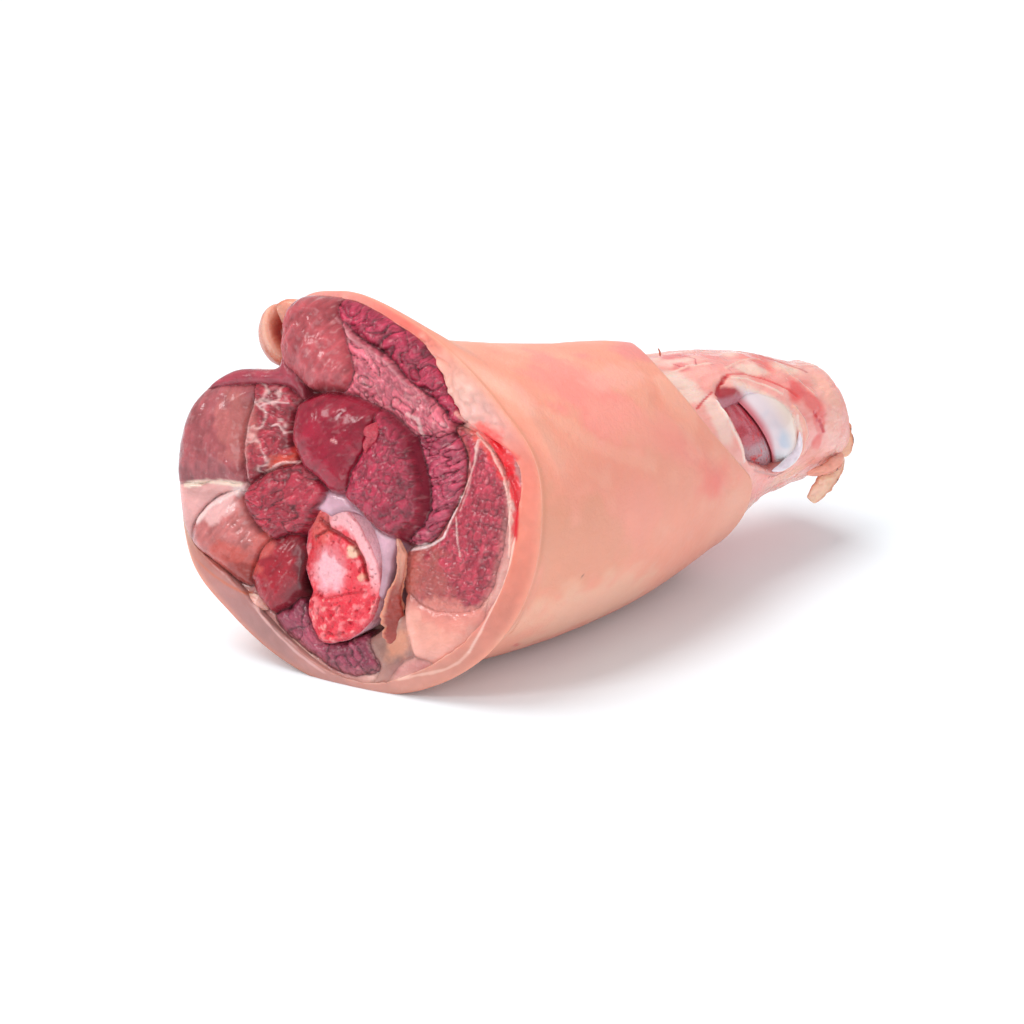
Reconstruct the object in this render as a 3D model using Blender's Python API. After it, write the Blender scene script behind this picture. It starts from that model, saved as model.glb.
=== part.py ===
"""A raw pork knuckle, lying on its side, with the big cut face to the near left.

The flesh is one closed body: the muscles of the cut face, the rolled rim of the rind, the
rind's sleeve, and the hock tissue that comes out of its narrow end. The shank bone runs through
it from the cut face to the joint, which shows in a window of the hock, and the hock bone is the
other side of that joint.

Tables of sizes are in millimetres, and MM turns them into metres where a mesh is written. An
angle round the knuckle is 0 on its near side, 90 on top, 180 on its far side and 270 below.
"""

from typing import NamedTuple

import bmesh
import bpy
import numpy as np

MM = 0.001
GAP = 0.3
JOINT_GAP = 1.0
END_DOME = 0.5

# Where the middle of the finished knuckle's footprint lies, in the frame of the tables below.
FOOTPRINT_CENTRE = (40.47, 14.89)

# Cut face: its centre, and how far its plane is turned and leans back, in degrees.
CUT_CENTRE = (-42.6, 12.9, 56.0)
CUT_YAW = 20.0
CUT_PITCH = 20.0

# Rim of the rind round the cut face: (angle, outer radius) and (angle, width of the rolled lip).
RIM_RADIUS = [
    (0, 63), (18, 60.5), (40, 54.5), (62, 53), (86, 57), (108, 65), (121, 66), (135, 51), (149, 60),
    (164, 67), (188, 65.5), (207, 65), (228, 60.5), (250, 59.5), (270, 61), (301, 64), (325, 65.6),
    (342, 65),
]
RIM_WIDTH = [
    (0, 9), (20, 6), (35, 11), (52, 10), (72, 4), (105, 5), (125, 3), (160, 3), (188, 5), (204, 9),
    (233, 9.5), (250, 8), (284, 4), (300, 6.5), (340, 9),
]
# (angle, how far the rim stands in front of the plane of the cut)
RIM_RISE = [(0, 2), (40, 0), (90, -1), (150, -2), (200, -2), (240, -1), (300, 0)]
RIM_BACK = 2.0

# Rind's sleeve: x, centre y, centre z, half width, half height.
SLEEVE = [
    (-60, 12, 52.5, 56, 54),
    (-36, 8, 50.5, 54, 52),
    (-10, 2, 47.5, 50.5, 49),
    (37, -1, 43.3, 44.5, 44.7),
    (60, 0, 42.5, 41, 41),
    (85, 1, 41, 37, 36),
    (112, 1, 39, 32, 30),
]
# (angle, x of the sleeve's narrow edge)
SLEEVE_EDGE = [
    (0, 85), (11, 77.5), (30, 65.5), (47, 60), (61, 58.5), (83, 63), (103, 72), (140, 80), (180, 80),
    (230, 78), (270, 80), (320, 84), (345, 87),
]
FLARE_NEAR = (0.75, 15.0)
FLARE_FAR = (0.25, 70.0)

# Hock tissue: x, centre y, centre z, half width, half height.
HOCK = [
    (55, 0, 42, 36, 36),
    (85, 0, 41, 33.5, 35.5),
    (105, -1, 41, 30, 31),
    (122, -2, 39.5, 26.5, 26.5),
    (138, -3, 36.5, 23.5, 22),
    (150, -4, 34.5, 21, 18.5),
    (160, -4, 33, 19, 16),
]
HOCK_SHOULDER = 149.5
HOCK_TIP = 3.5
HOCK_BLUNTNESS = 2.6

# Window in the hock over the joint: x and angle of its middle, half length, half width, slant.
WINDOW_X = 101.5
WINDOW_ANGLE = 21.0
WINDOW_HALF_LENGTH = 20.5
WINDOW_HALF_WIDTH = 14.0
WINDOW_SLANT = 120.0
WINDOW_DEPTH = 6.5
WINDOW_ARC_PER_DEGREE = 0.506

# Bones: x, y and z of a section's centre, half width, half height, yaw, pitch.
SHANK_BONE = [
    (-51.8, 8.3, 33.8, 15.5, 21.5, 20, 20),
    (-38, 7, 35.5, 14, 18.5, 17, 15),
    (-15, 4.5, 39, 12.5, 13.5, 10, 6),
    (20, 1, 42, 11.5, 11.5, 2, -4),
    (60, -4, 45, 12.5, 12.5, -3, -16),
    (84, -9, 46.5, 16, 17.5, -4.6, -25),
    (97, -11, 46.8, 17.5, 20.5, -4.6, -28.4),
    (102.5, -11.3, 46.8, 16.5, 19.5, -4.6, -28.4),
]
HOCK_BONE = [
    (105, -11.5, 47, 16.5, 19.5, -4.6, -28.4),
    (110, -12, 46.5, 17.5, 20, -4.6, -24),
    (118, -11.5, 44, 15.5, 17, 0, -12),
    (127, -10, 41.5, 9.5, 11, 4, 0),
]

# Rows of the flesh's mesh from the middle of the cut face to the tip of the hock.
FACE_ROWS = 20
LIP_ROWS = 6
SLEEVE_ROWS = 14
STEP_ROWS = 3
HOCK_ROWS = 14
FLESH_ROWS = FACE_ROWS + LIP_ROWS + SLEEVE_ROWS + STEP_ROWS + HOCK_ROWS
FLESH_SIDES = 76


class Muscle(NamedTuple):
    """One muscle of the cut face: a dome on an ellipse, in the plane of the cut."""

    across: float
    up: float
    half_across: float
    half_up: float
    turn: float
    level: float
    crown: float


MUSCLES = [
    Muscle(-54, 10, 14, 18, 8, -1, 8),
    Muscle(-34, 16, 10, 14, 0, 0, 5),
    Muscle(-47, 27, 13, 6, 12, -1, 5),
    Muscle(-45, -18, 13, 16, -20, -1, 6),
    Muscle(-53, -6, 15, 4, 0, 2, 2),
    Muscle(-27, -6, 13, 11, 20, 0, 6),
    Muscle(-26, -27, 9, 12, 5, 1, 6),
    Muscle(-5, -46, 20, 9, -30, -2, 6),
    Muscle(-10, 16, 18, 17, 0, 2, 10),
    Muscle(7, 4, 14, 20, 20, 2, 9),
    Muscle(-25, 44, 12, 17, -15, 1, 9),
    Muscle(8, 43, 26, 9, -42, -4, 6),
    Muscle(9, 29, 27, 7.5, -42, -2, 6),
    Muscle(22, 8, 9, 20, 12, -5, 6),
    Muscle(43, -3, 12, 28, 0, -6, 6),
    Muscle(26, -21, 8, 12, 0, -7, 6),
    Muscle(39, -34, 13, 9, 30, -5, 4),
    Muscle(20, -45, 14, 9, 10, -3, 4),
]
FACE_FLOOR = -9.0
FACE_SPREAD = 0.85
MUSCLE_FALL = 1.7
CREASE_SOFTNESS = 1.2


class Lump(NamedTuple):
    """A rounded scrap that is fused to the flesh: its centre, half sizes, turns and dent."""

    name: str
    centre: tuple
    half: tuple
    turn: tuple
    dent: tuple
    dent_depth: float


def ease(start, end, value):
    """Rise smoothly from 0 at start to 1 at end."""
    t = np.clip((value - start) / (end - start), 0, 1)
    return t * t * (3 - 2 * t)


def through(places, sizes, at):
    """A smooth curve through sizes at places, read at the given places."""
    places = np.asarray(places, float)
    sizes = np.asarray(sizes, float)
    step = np.diff(places)
    slope = np.diff(sizes) / step
    tangent = np.empty(len(places))
    tangent[1:-1] = (slope[:-1] * step[1:] + slope[1:] * step[:-1]) / (step[1:] + step[:-1])
    tangent[0] = slope[0]
    tangent[-1] = slope[-1]
    i = np.clip(np.searchsorted(places, at) - 1, 0, len(places) - 2)
    t = (at - places[i]) / step[i]
    rise = (2 * t**3 - 3 * t**2 + 1) * sizes[i] + (3 * t**2 - 2 * t**3) * sizes[i + 1]
    lean = (t**3 - 2 * t**2 + t) * tangent[i] + (t**3 - t**2) * tangent[i + 1]
    return rise + lean * step[i]


def around(stations, angle):
    """A smooth closed curve through (angle, size) stations, read at angles in degrees."""
    places = np.array([station[0] for station in stations], float)
    sizes = np.array([station[1] for station in stations], float)
    turns = np.concatenate([places - 360, places, places + 360])
    return through(turns, np.tile(sizes, 3), np.asarray(angle, float) % 360)


def plane_axes(yaw, pitch):
    """Across, up and outward directions of a section plane that faces the cut end."""
    yaw = np.radians(np.asarray(yaw, float))
    pitch = np.radians(np.asarray(pitch, float))
    out = np.stack([-np.cos(pitch) * np.cos(yaw), -np.cos(pitch) * np.sin(yaw), np.sin(pitch)], -1)
    across = np.stack([np.sin(yaw), -np.cos(yaw), 0 * yaw], -1)
    return across, np.cross(out, across), out


def on_cut(across, up, rise):
    """Place points given by their distances across, up and in front of the cut's plane."""
    side, top, out = plane_axes(CUT_YAW, CUT_PITCH)
    return (
        np.array(CUT_CENTRE)
        + np.asarray(across)[..., None] * side
        + np.asarray(up)[..., None] * top
        + np.asarray(rise)[..., None] * out
    )


def on_tube(stations, x, angle):
    """Points on a tube of upright elliptical sections."""
    table = np.array(stations, float)
    y, z, width, height = [through(table[:, 0], table[:, column], x) for column in range(1, 5)]
    turn = np.radians(angle)
    return np.stack([x + 0 * y, y - width * np.cos(turn), z + height * np.sin(turn)], -1)


def face_rise(across, up):
    """How far the muscles stand in front of the plane of the cut."""
    rise = np.full(np.shape(across), FACE_FLOOR)
    for muscle in MUSCLES:
        turn = np.radians(muscle.turn)
        dx = across - muscle.across
        dy = up - muscle.up
        u = (dx * np.cos(turn) + dy * np.sin(turn)) / muscle.half_across
        v = (dy * np.cos(turn) - dx * np.sin(turn)) / muscle.half_up
        distance = np.hypot(u, v)
        dome = muscle.level + muscle.crown * (1 - distance**3)
        side = muscle.level - muscle.crown * MUSCLE_FALL * (distance - 1)
        top = np.where(distance > 1, side, dome)
        blend = np.clip(0.5 + 0.5 * (top - rise) / CREASE_SOFTNESS, 0, 1)
        rise = rise * (1 - blend) + top * blend + CREASE_SOFTNESS * blend * (1 - blend)
    return rise


def face_points(angle, row):
    """The cut face, from its middle to the inner edge of the rim."""
    turn = np.radians(angle)
    reach = np.clip(row / FACE_ROWS, 0, 1) ** FACE_SPREAD
    inner = around(RIM_RADIUS, angle) - around(RIM_WIDTH, angle)
    across = reach * inner * np.cos(turn)
    up = reach * inner * np.sin(turn)
    edge = ease(0.8, 1.0, reach)
    rise = face_rise(across, up) * (1 - edge) + around(RIM_RISE, angle) * edge
    return on_cut(across, up, rise)


def lip_points(angle, row):
    """The rolled lip of the rind, over its crest to its outer edge."""
    turn = np.radians(angle)
    t = np.clip((row - FACE_ROWS) / LIP_ROWS, 0, 1)
    roll = np.pi * (1 - t)
    width = around(RIM_WIDTH, angle)
    radius = around(RIM_RADIUS, angle) - width * (0.5 - 0.5 * np.cos(roll))
    rise = around(RIM_RISE, angle) + 0.5 * width * np.sin(roll) - RIM_BACK * t
    return on_cut(radius * np.cos(turn), radius * np.sin(turn), rise)


def sleeve_points(angle, row):
    """The sleeve of rind, which flares to the lip, out to its slanting narrow edge."""
    start = lip_points(angle, np.full(np.shape(angle), FACE_ROWS + LIP_ROWS))
    t = np.clip((row - FACE_ROWS - LIP_ROWS) / SLEEVE_ROWS, 0, 1) ** 1.25
    x = start[..., 0] * (1 - t) + around(SLEEVE_EDGE, angle) * t
    beyond = x - start[..., 0]
    flare = start - on_tube(SLEEVE, start[..., 0], angle)
    keep = FLARE_NEAR[0] * (1 - ease(0, FLARE_NEAR[1], beyond))
    keep = keep + FLARE_FAR[0] * (1 - ease(0, FLARE_FAR[1], beyond))
    return on_tube(SLEEVE, x, angle) + flare * keep[..., None]


def window_mask(x, angle):
    """How far inside the joint's window a place on the hock is, from 0 to 1."""
    slant = np.radians(WINDOW_SLANT)
    along = x - WINDOW_X
    arc = ((angle - WINDOW_ANGLE + 180) % 360 - 180) * WINDOW_ARC_PER_DEGREE
    u = (along * np.cos(slant) + arc * np.sin(slant)) / WINDOW_HALF_LENGTH
    v = (arc * np.cos(slant) - along * np.sin(slant)) / WINDOW_HALF_WIDTH
    return 1 - ease(0.8, 1.12, np.hypot(u, v))


def hock_points(angle, row):
    """The hock tissue from under the rind's edge to its blunt tip, with the joint's window."""
    t = np.clip((row - FLESH_ROWS + HOCK_ROWS) / HOCK_ROWS, 0, 1)
    shaft = np.clip(t / 0.8, 0, 1)
    cap = np.clip((t - 0.8) / 0.2, 0, 1)
    start = around(SLEEVE_EDGE, angle) - 1
    x = start * (1 - shaft) + HOCK_SHOULDER * shaft
    skin = on_tube(HOCK, x, angle)
    table = np.array(HOCK, float)
    middle = np.stack([x, through(table[:, 0], table[:, 1], x), through(table[:, 0], table[:, 2], x)], -1)
    closing = np.clip(1 - cap**HOCK_BLUNTNESS, 0, 1) ** (1 / HOCK_BLUNTNESS)
    spoke = skin - middle
    length = np.linalg.norm(spoke, axis=-1)
    sunk = 1 - WINDOW_DEPTH * window_mask(x, angle) / np.maximum(length, 1)
    point = middle + spoke * (closing * sunk)[..., None]
    point[..., 0] += HOCK_TIP * cap
    return point


def step_points(angle, row):
    """The cut edge of the rind, rounded down to the hock tissue."""
    t = np.clip((row - FACE_ROWS - LIP_ROWS - SLEEVE_ROWS) / STEP_ROWS, 0, 1)
    top = on_tube(SLEEVE, around(SLEEVE_EDGE, angle), angle)
    foot = hock_points(angle, np.full(np.shape(angle), float(FLESH_ROWS - HOCK_ROWS)))
    point = top * (1 - t[..., None]) + foot * t[..., None]
    point[..., 0] += 1.5 * np.sin(np.pi * t)
    return point


def flesh_points(angle, row):
    """Every point of the flesh, by its angle and its row from the cut face to the hock."""
    point = hock_points(angle, row)
    for rows, part in (
        (FLESH_ROWS - HOCK_ROWS, step_points),
        (FACE_ROWS + LIP_ROWS + SLEEVE_ROWS, sleeve_points),
        (FACE_ROWS + LIP_ROWS, lip_points),
        (FACE_ROWS, face_points),
    ):
        point = np.where((row <= rows)[..., None], part(angle, row), point)
    return point


def bone_points(stations, end_rows, rows, grow, reach):
    """A form for a bone through its stations, grown all round and reaching past both ends."""
    table = np.array(stations, float)
    last = len(stations) - 1

    def form(angle, row):
        turn = np.radians(angle)
        shaft = np.clip((row - end_rows) / (rows - 2 * end_rows), 0, 1)
        near_end = np.clip(row / end_rows, 0, 1)
        far_end = np.clip((rows - row) / end_rows, 0, 1)
        closing = np.minimum(near_end, far_end)
        closing = 1 - (1 - closing) ** 1.5
        x, y, z, width, height, yaw, pitch = [
            through(np.arange(last + 1), table[:, column], shaft * last) for column in range(7)
        ]
        across, up, out = plane_axes(yaw, pitch)
        radius = closing / np.hypot(np.cos(turn) / (width + grow), np.sin(turn) / (height + grow))
        dome = END_DOME * (1 - closing**2) + reach
        outward = np.where(row <= end_rows, dome, np.where(row >= rows - end_rows, -dome, 0))
        return (
            np.stack([x, y, z], -1)
            + (radius * np.cos(turn))[..., None] * across
            + (radius * np.sin(turn))[..., None] * up
            + outward[..., None] * out
        )

    return form


def finish_material(name, colour, roughness):
    """A plain finish for one piece."""
    material = bpy.data.materials.new(name)
    material.use_nodes = True
    shader = material.node_tree.nodes["Principled BSDF"]
    shader.inputs["Base Color"].default_value = (*colour, 1.0)
    shader.inputs["Roughness"].default_value = roughness
    shader.inputs["Metallic"].default_value = 0.0
    return material


def add_object(name, bm, material):
    """Put a finished bmesh into the scene as a smooth-shaded object."""
    mesh = bpy.data.meshes.new(name)
    bm.to_mesh(mesh)
    bm.free()
    mesh.materials.append(material)
    mesh.shade_smooth()
    mesh.set_sharp_from_angle(angle=np.radians(50))
    piece = bpy.data.objects.new(name, mesh)
    bpy.context.scene.collection.objects.link(piece)
    return piece


def shaped_ball(name, sides, rows, form, material):
    """Turn a ball of sides by rows into a piece, each vertex placed by form(angle, row)."""
    bm = bmesh.new()
    bmesh.ops.create_uvsphere(bm, u_segments=sides, v_segments=rows, radius=1.0)
    ball = np.array([vertex.co for vertex in bm.verts])
    angle = np.degrees(np.arctan2(ball[:, 1], ball[:, 0])) % 360
    row = np.round(np.arccos(np.clip(ball[:, 2], -1, 1)) / np.pi * rows, 6)
    placed = form(angle, row)
    placed[:, 2] = np.maximum(placed[:, 2], 0)
    placed[:, :2] -= FOOTPRINT_CENTRE
    for vertex, place in zip(bm.verts, placed * MM):
        vertex.co = place
    return add_object(name, bm, material)


def lump_points(lump, rows):
    """A form for a scrap: an ellipsoid, turned, with one dent pressed into it."""
    yaw, pitch, roll = np.radians(lump.turn)
    about_z = np.array([[np.cos(yaw), -np.sin(yaw), 0], [np.sin(yaw), np.cos(yaw), 0], [0, 0, 1]])
    about_y = np.array([[np.cos(pitch), 0, np.sin(pitch)], [0, 1, 0], [-np.sin(pitch), 0, np.cos(pitch)]])
    about_x = np.array([[1, 0, 0], [0, np.cos(roll), -np.sin(roll)], [0, np.sin(roll), np.cos(roll)]])
    turned = about_z @ about_y @ about_x
    dent = np.array(lump.dent, float)

    def form(angle, row):
        slope = row / rows * np.pi
        turn = np.radians(angle)
        unit = np.stack([np.sin(slope) * np.cos(turn), np.sin(slope) * np.sin(turn), np.cos(slope)], -1)
        pressed = lump.dent_depth * ease(0.45, 1.0, unit @ (dent / np.linalg.norm(dent)))
        local = unit * (1 - pressed[..., None]) * np.array(lump.half)
        return np.array(lump.centre) + local @ turned.T

    return form


def scraps():
    """The curl of skin, the flaps and the strip that hang on the flesh."""
    curl = on_cut(-40.0, 45.5, -7.0)
    flap = on_cut(17.5, -29.0, 1.0)
    nub = on_cut(1.5, 20.5, 10.5)
    return [
        Lump("curl", tuple(curl), (8, 10, 11.5), (20, -20, 14), (-0.6, -1, -0.2), 0.42),
        Lump("tendon_flap", tuple(flap), (3.5, 4, 17), (20, -20, 8), (-1, 0, 0), 0.1),
        Lump("nub", tuple(nub), (4, 3, 4.5), (20, 0, 0), (-1, 0, 0), 0.05),
        Lump("end_flap", (146, -23, 36), (3.5, 5, 9), (-20, 10, 0), (0, -1, 0), 0.2),
        Lump("low_flap", (137, -24, 29), (9, 3.5, 3.5), (-10, 18, 0), (0, -1, 0), 0.1),
        Lump("hanging_strip", (139.5, -26, 25), (2.2, 1.4, 9.5), (-20, -14, 12), (0, -1, 0), 0.1),
    ]


def join(piece, extras):
    """Fuse the extras into the piece with one Boolean union, and remove them."""
    group = bpy.data.collections.new("scraps")
    bpy.context.scene.collection.children.link(group)
    for extra in extras:
        bpy.context.scene.collection.objects.unlink(extra)
        group.objects.link(extra)
    union = piece.modifiers.new("union", "BOOLEAN")
    union.operation = "UNION"
    union.operand_type = "COLLECTION"
    union.collection = group
    union.solver = "EXACT"
    graph = bpy.context.evaluated_depsgraph_get()
    fused = bpy.data.meshes.new_from_object(piece.evaluated_get(graph))
    piece.modifiers.clear()
    piece.data = fused
    for extra in list(group.objects):
        bpy.data.objects.remove(extra)
    bpy.data.collections.remove(group)


def cut(piece, cutter):
    """Cut the cutter's shape out of the piece, and keep the cutter as a hidden guide."""
    cutter.hide_render = True
    cutter.display_type = "WIRE"
    difference = piece.modifiers.new("channel", "BOOLEAN")
    difference.operation = "DIFFERENCE"
    difference.object = cutter
    difference.solver = "EXACT"


def main():
    """Model the flesh, fuse its scraps, and set the two bones in their channels."""
    for old in list(bpy.data.objects):
        bpy.data.objects.remove(old)

    rind = finish_material("rind_and_meat", (0.72, 0.36, 0.30), 0.45)
    bone = finish_material("bone", (0.80, 0.42, 0.40), 0.45)
    cartilage = finish_material("cartilage", (0.82, 0.84, 0.88), 0.2)

    flesh = shaped_ball("flesh", FLESH_SIDES, FLESH_ROWS, flesh_points, rind)
    pieces = [shaped_ball(lump.name, 12, 8, lump_points(lump, 8), rind) for lump in scraps()]
    join(flesh, pieces)

    for name, stations, sides, rows, end_rows, finish in (
        ("shank_bone", SHANK_BONE, 26, 26, 3, bone),
        ("hock_bone", HOCK_BONE, 26, 14, 3, cartilage),
    ):
        channel = bone_points(stations, end_rows, rows, GAP, JOINT_GAP)
        cut(flesh, shaped_ball(name + "_channel", sides, rows, channel, finish))
        shaped_ball(name, sides, rows, bone_points(stations, end_rows, rows, 0.0, 0.0), finish)


main()
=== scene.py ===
"""Looks of the raw pork knuckle: rind, muscles of the cut, bone, joint and hock, under studio light.

Lengths in the classes are millimetres in the frame of the part's own tables, and `in_place` turns
them into metres in the shared frame. Angles round the knuckle are in degrees: 0 on the near side,
90 on top, 180 on the far side and 270 below.
"""

import logging
from collections.abc import Callable, Sequence
from dataclasses import dataclass, field
from enum import Enum
from typing import Union

import bmesh
import bpy
import numpy as np
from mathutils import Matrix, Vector


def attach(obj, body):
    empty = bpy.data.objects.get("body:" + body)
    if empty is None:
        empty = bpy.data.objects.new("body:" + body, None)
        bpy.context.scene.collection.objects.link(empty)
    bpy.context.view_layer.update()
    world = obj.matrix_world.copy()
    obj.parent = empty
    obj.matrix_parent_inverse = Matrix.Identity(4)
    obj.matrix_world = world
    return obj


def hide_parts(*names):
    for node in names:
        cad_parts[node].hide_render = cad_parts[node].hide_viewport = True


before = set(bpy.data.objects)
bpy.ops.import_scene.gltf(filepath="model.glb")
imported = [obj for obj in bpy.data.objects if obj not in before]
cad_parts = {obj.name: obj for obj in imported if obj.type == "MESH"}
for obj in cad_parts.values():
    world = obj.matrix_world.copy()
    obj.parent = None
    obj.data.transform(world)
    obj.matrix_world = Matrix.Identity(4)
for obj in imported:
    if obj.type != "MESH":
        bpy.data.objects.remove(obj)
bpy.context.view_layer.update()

LOG = logging.getLogger("knuckle")

MM = 0.001
WELD = 0.00001
FOOTPRINT_CENTRE = (40.47, 14.89)
Numbers = np.ndarray
Form = Callable[[Numbers, Numbers], tuple[Numbers, dict[str, Numbers]]]
Closer = Callable[[bmesh.types.BMesh], None]


def ease(start: float, end: float, value: Numbers) -> Numbers:
    """Rise smoothly from 0 at start to 1 at end."""
    t = np.clip((value - start) / (end - start), 0, 1)
    return t * t * (3 - 2 * t)


def span(stations: Sequence[float], value: Numbers) -> Numbers:
    """Rise from 0 to 1 between the first two stations, and fall back between the last two."""
    return ease(stations[0], stations[1], value) * (1 - ease(stations[2], stations[3], value))


def bell(middle: float, width: float, value: Numbers) -> Numbers:
    """1 at the middle, and close to 0 beyond two widths from it."""
    return np.exp(-(((value - middle) / width) ** 2))


def signed(angle: Numbers) -> Numbers:
    """The same angle between -180 and 180 degrees."""
    return (angle + 180) % 360 - 180


def unit(vectors: Numbers) -> Numbers:
    """The same directions with length 1."""
    return vectors / np.maximum(np.linalg.norm(vectors, axis=-1), 1e-9)[..., None]


def through(places: Sequence[float], sizes: Sequence[float], at: Numbers) -> Numbers:
    """Read a smooth curve through sizes at places.

    Args:
        places: Where the sizes hold, in rising order.
        sizes: The size at each place.
        at: Where to read the curve.

    Returns:
        The sizes at the places asked for.
    """
    places = np.asarray(places, float)
    sizes = np.asarray(sizes, float)
    step = np.diff(places)
    slope = np.diff(sizes) / step
    tangent = np.empty(len(places))
    tangent[1:-1] = (slope[:-1] * step[1:] + slope[1:] * step[:-1]) / (step[1:] + step[:-1])
    tangent[0] = slope[0]
    tangent[-1] = slope[-1]
    i = np.clip(np.searchsorted(places, at) - 1, 0, len(places) - 2)
    t = (at - places[i]) / step[i]
    rise = (2 * t**3 - 3 * t**2 + 1) * sizes[i] + (3 * t**2 - 2 * t**3) * sizes[i + 1]
    lean = (t**3 - 2 * t**2 + t) * tangent[i] + (t**3 - t**2) * tangent[i + 1]
    return rise + lean * step[i]


def around(stations: Sequence[tuple], angle: Numbers) -> Numbers:
    """Read a smooth closed curve through (angle, size) stations."""
    places = np.array([station[0] for station in stations], float)
    sizes = np.array([station[1] for station in stations], float)
    turns = np.concatenate([places - 360, places, places + 360])
    return through(turns, np.tile(sizes, 3), np.asarray(angle, float) % 360)


def plane_axes(yaw: Numbers, pitch: Numbers) -> tuple[Numbers, Numbers, Numbers]:
    """Across, up and outward directions of a section plane that faces the cut end."""
    yaw = np.radians(np.asarray(yaw, float))
    pitch = np.radians(np.asarray(pitch, float))
    out = np.stack([-np.cos(pitch) * np.cos(yaw), -np.cos(pitch) * np.sin(yaw), np.sin(pitch)], -1)
    across = np.stack([np.sin(yaw), -np.cos(yaw), 0 * yaw], -1)
    return across, np.cross(out, across), out


def in_place(points: Numbers) -> Numbers:
    """Turn table millimetres into metres in the shared frame, never below the ground."""
    placed = np.array(points, float)
    placed[..., 2] = np.maximum(placed[..., 2], 0)
    placed[..., 0] -= FOOTPRINT_CENTRE[0]
    placed[..., 1] -= FOOTPRINT_CENTRE[1]
    return placed * MM


def linear(colour: Sequence[float]) -> Numbers:
    """A screen colour of 0 to 255 a channel as linear light."""
    value = np.asarray(colour, float) / 255
    return np.where(value <= 0.04045, value / 12.92, ((value + 0.055) / 1.055) ** 2.4)


def blend(under: Numbers, over: Sequence[float], share: Numbers) -> Numbers:
    """Lay the screen colour `over` on linear colours by a share from 0 to 1."""
    share = np.clip(share, 0, 1)[..., None]
    return under * (1 - share) + linear(over) * share


def all_over(colour: Sequence[float], like: Numbers) -> Numbers:
    """One screen colour, as linear light, at every place of the given numbers."""
    return np.ones((*like.shape, 3)) * linear(colour)


@dataclass(frozen=True)
class Grain:
    """Repeatable noise in space, from -1 to 1."""

    seed: int

    def corner(self, cell: Numbers, salt: int = 0) -> Numbers:
        """A fixed random number for each whole-number cell."""
        key = cell[..., 0] * 374761393 + cell[..., 1] * 668265263 + cell[..., 2] * 1440662683
        key = key + (self.seed * 7919 + salt * 104729)
        key = (key ^ (key >> 13)) * 1274126177 & 0x7FFFFFFF
        key = (key ^ (key >> 16)) * 668265263 & 0x7FFFFFFF
        return ((key >> 8) & 0xFFFF) / 32767.5 - 1

    def smooth(self, points: Numbers, size: float) -> Numbers:
        """Smooth noise with bumps of about the given size."""
        scaled = points / size
        base = np.floor(scaled).astype(np.int64)
        part = scaled - base
        part = part * part * (3 - 2 * part)
        total = np.zeros(points.shape[:-1])
        for dx in (0, 1):
            for dy in (0, 1):
                for dz in (0, 1):
                    weight = (
                        np.where(dx, part[..., 0], 1 - part[..., 0])
                        * np.where(dy, part[..., 1], 1 - part[..., 1])
                        * np.where(dz, part[..., 2], 1 - part[..., 2])
                    )
                    total = total + weight * self.corner(base + np.array([dx, dy, dz]))
        return total

    def rough(self, points: Numbers, size: float, octaves: int = 3) -> Numbers:
        """Layers of smooth noise, each half the size and strength of the last."""
        total = np.zeros(points.shape[:-1])
        for octave in range(octaves):
            total = total + self.smooth(points + 17.3 * octave, size / 2**octave) / 2**octave
        return total / (2 - 2.0 ** (1 - octaves))

    def cells(self, across: Numbers, up: Numbers, size: float) -> tuple[Numbers, Numbers]:
        """Split a plane into rounded cells.

        Args:
            across: First coordinate.
            up: Second coordinate.
            size: Mean width of a cell.

        Returns:
            The distance to the nearest border, from 0, and a random tone for each cell.
        """
        x = across / size
        y = up / size
        column = np.floor(x).astype(np.int64)
        line = np.floor(y).astype(np.int64)
        nearest = np.full(x.shape, 9.0)
        second = np.full(x.shape, 9.0)
        tone = np.zeros(x.shape)
        for dx in (-1, 0, 1):
            for dy in (-1, 0, 1):
                cell = np.stack([column + dx, line + dy, 0 * line], -1)
                away = np.hypot(
                    column + dx + 0.5 + 0.42 * self.corner(cell, 1) - x,
                    line + dy + 0.5 + 0.42 * self.corner(cell, 2) - y,
                )
                closer = away < nearest
                second = np.where(closer, nearest, np.minimum(second, away))
                tone = np.where(closer, self.corner(cell, 3), tone)
                nearest = np.where(closer, away, nearest)
        return (second - nearest) * size, tone


def planar(across: Numbers, up: Numbers) -> Numbers:
    """Stack two coordinates into points for the noise."""
    return np.stack([across, up, 0 * up], -1)


class Val:
    """One shader value or colour, with the arithmetic that it is used in."""

    def __init__(self, sheet: "Sheet", socket: bpy.types.NodeSocket) -> None:
        """Wrap one output socket of the sheet's nodes."""
        self.sheet = sheet
        self.socket = socket

    def __add__(self, other: "Term") -> "Val":
        """Sum."""
        return self.sheet.maths("ADD", self, other)

    def __sub__(self, other: "Term") -> "Val":
        """Difference."""
        return self.sheet.maths("SUBTRACT", self, other)

    def __mul__(self, other: "Term") -> "Val":
        """Product."""
        return self.sheet.maths("MULTIPLY", self, other)

    __radd__ = __add__


Term = Union[Val, float]


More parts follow.
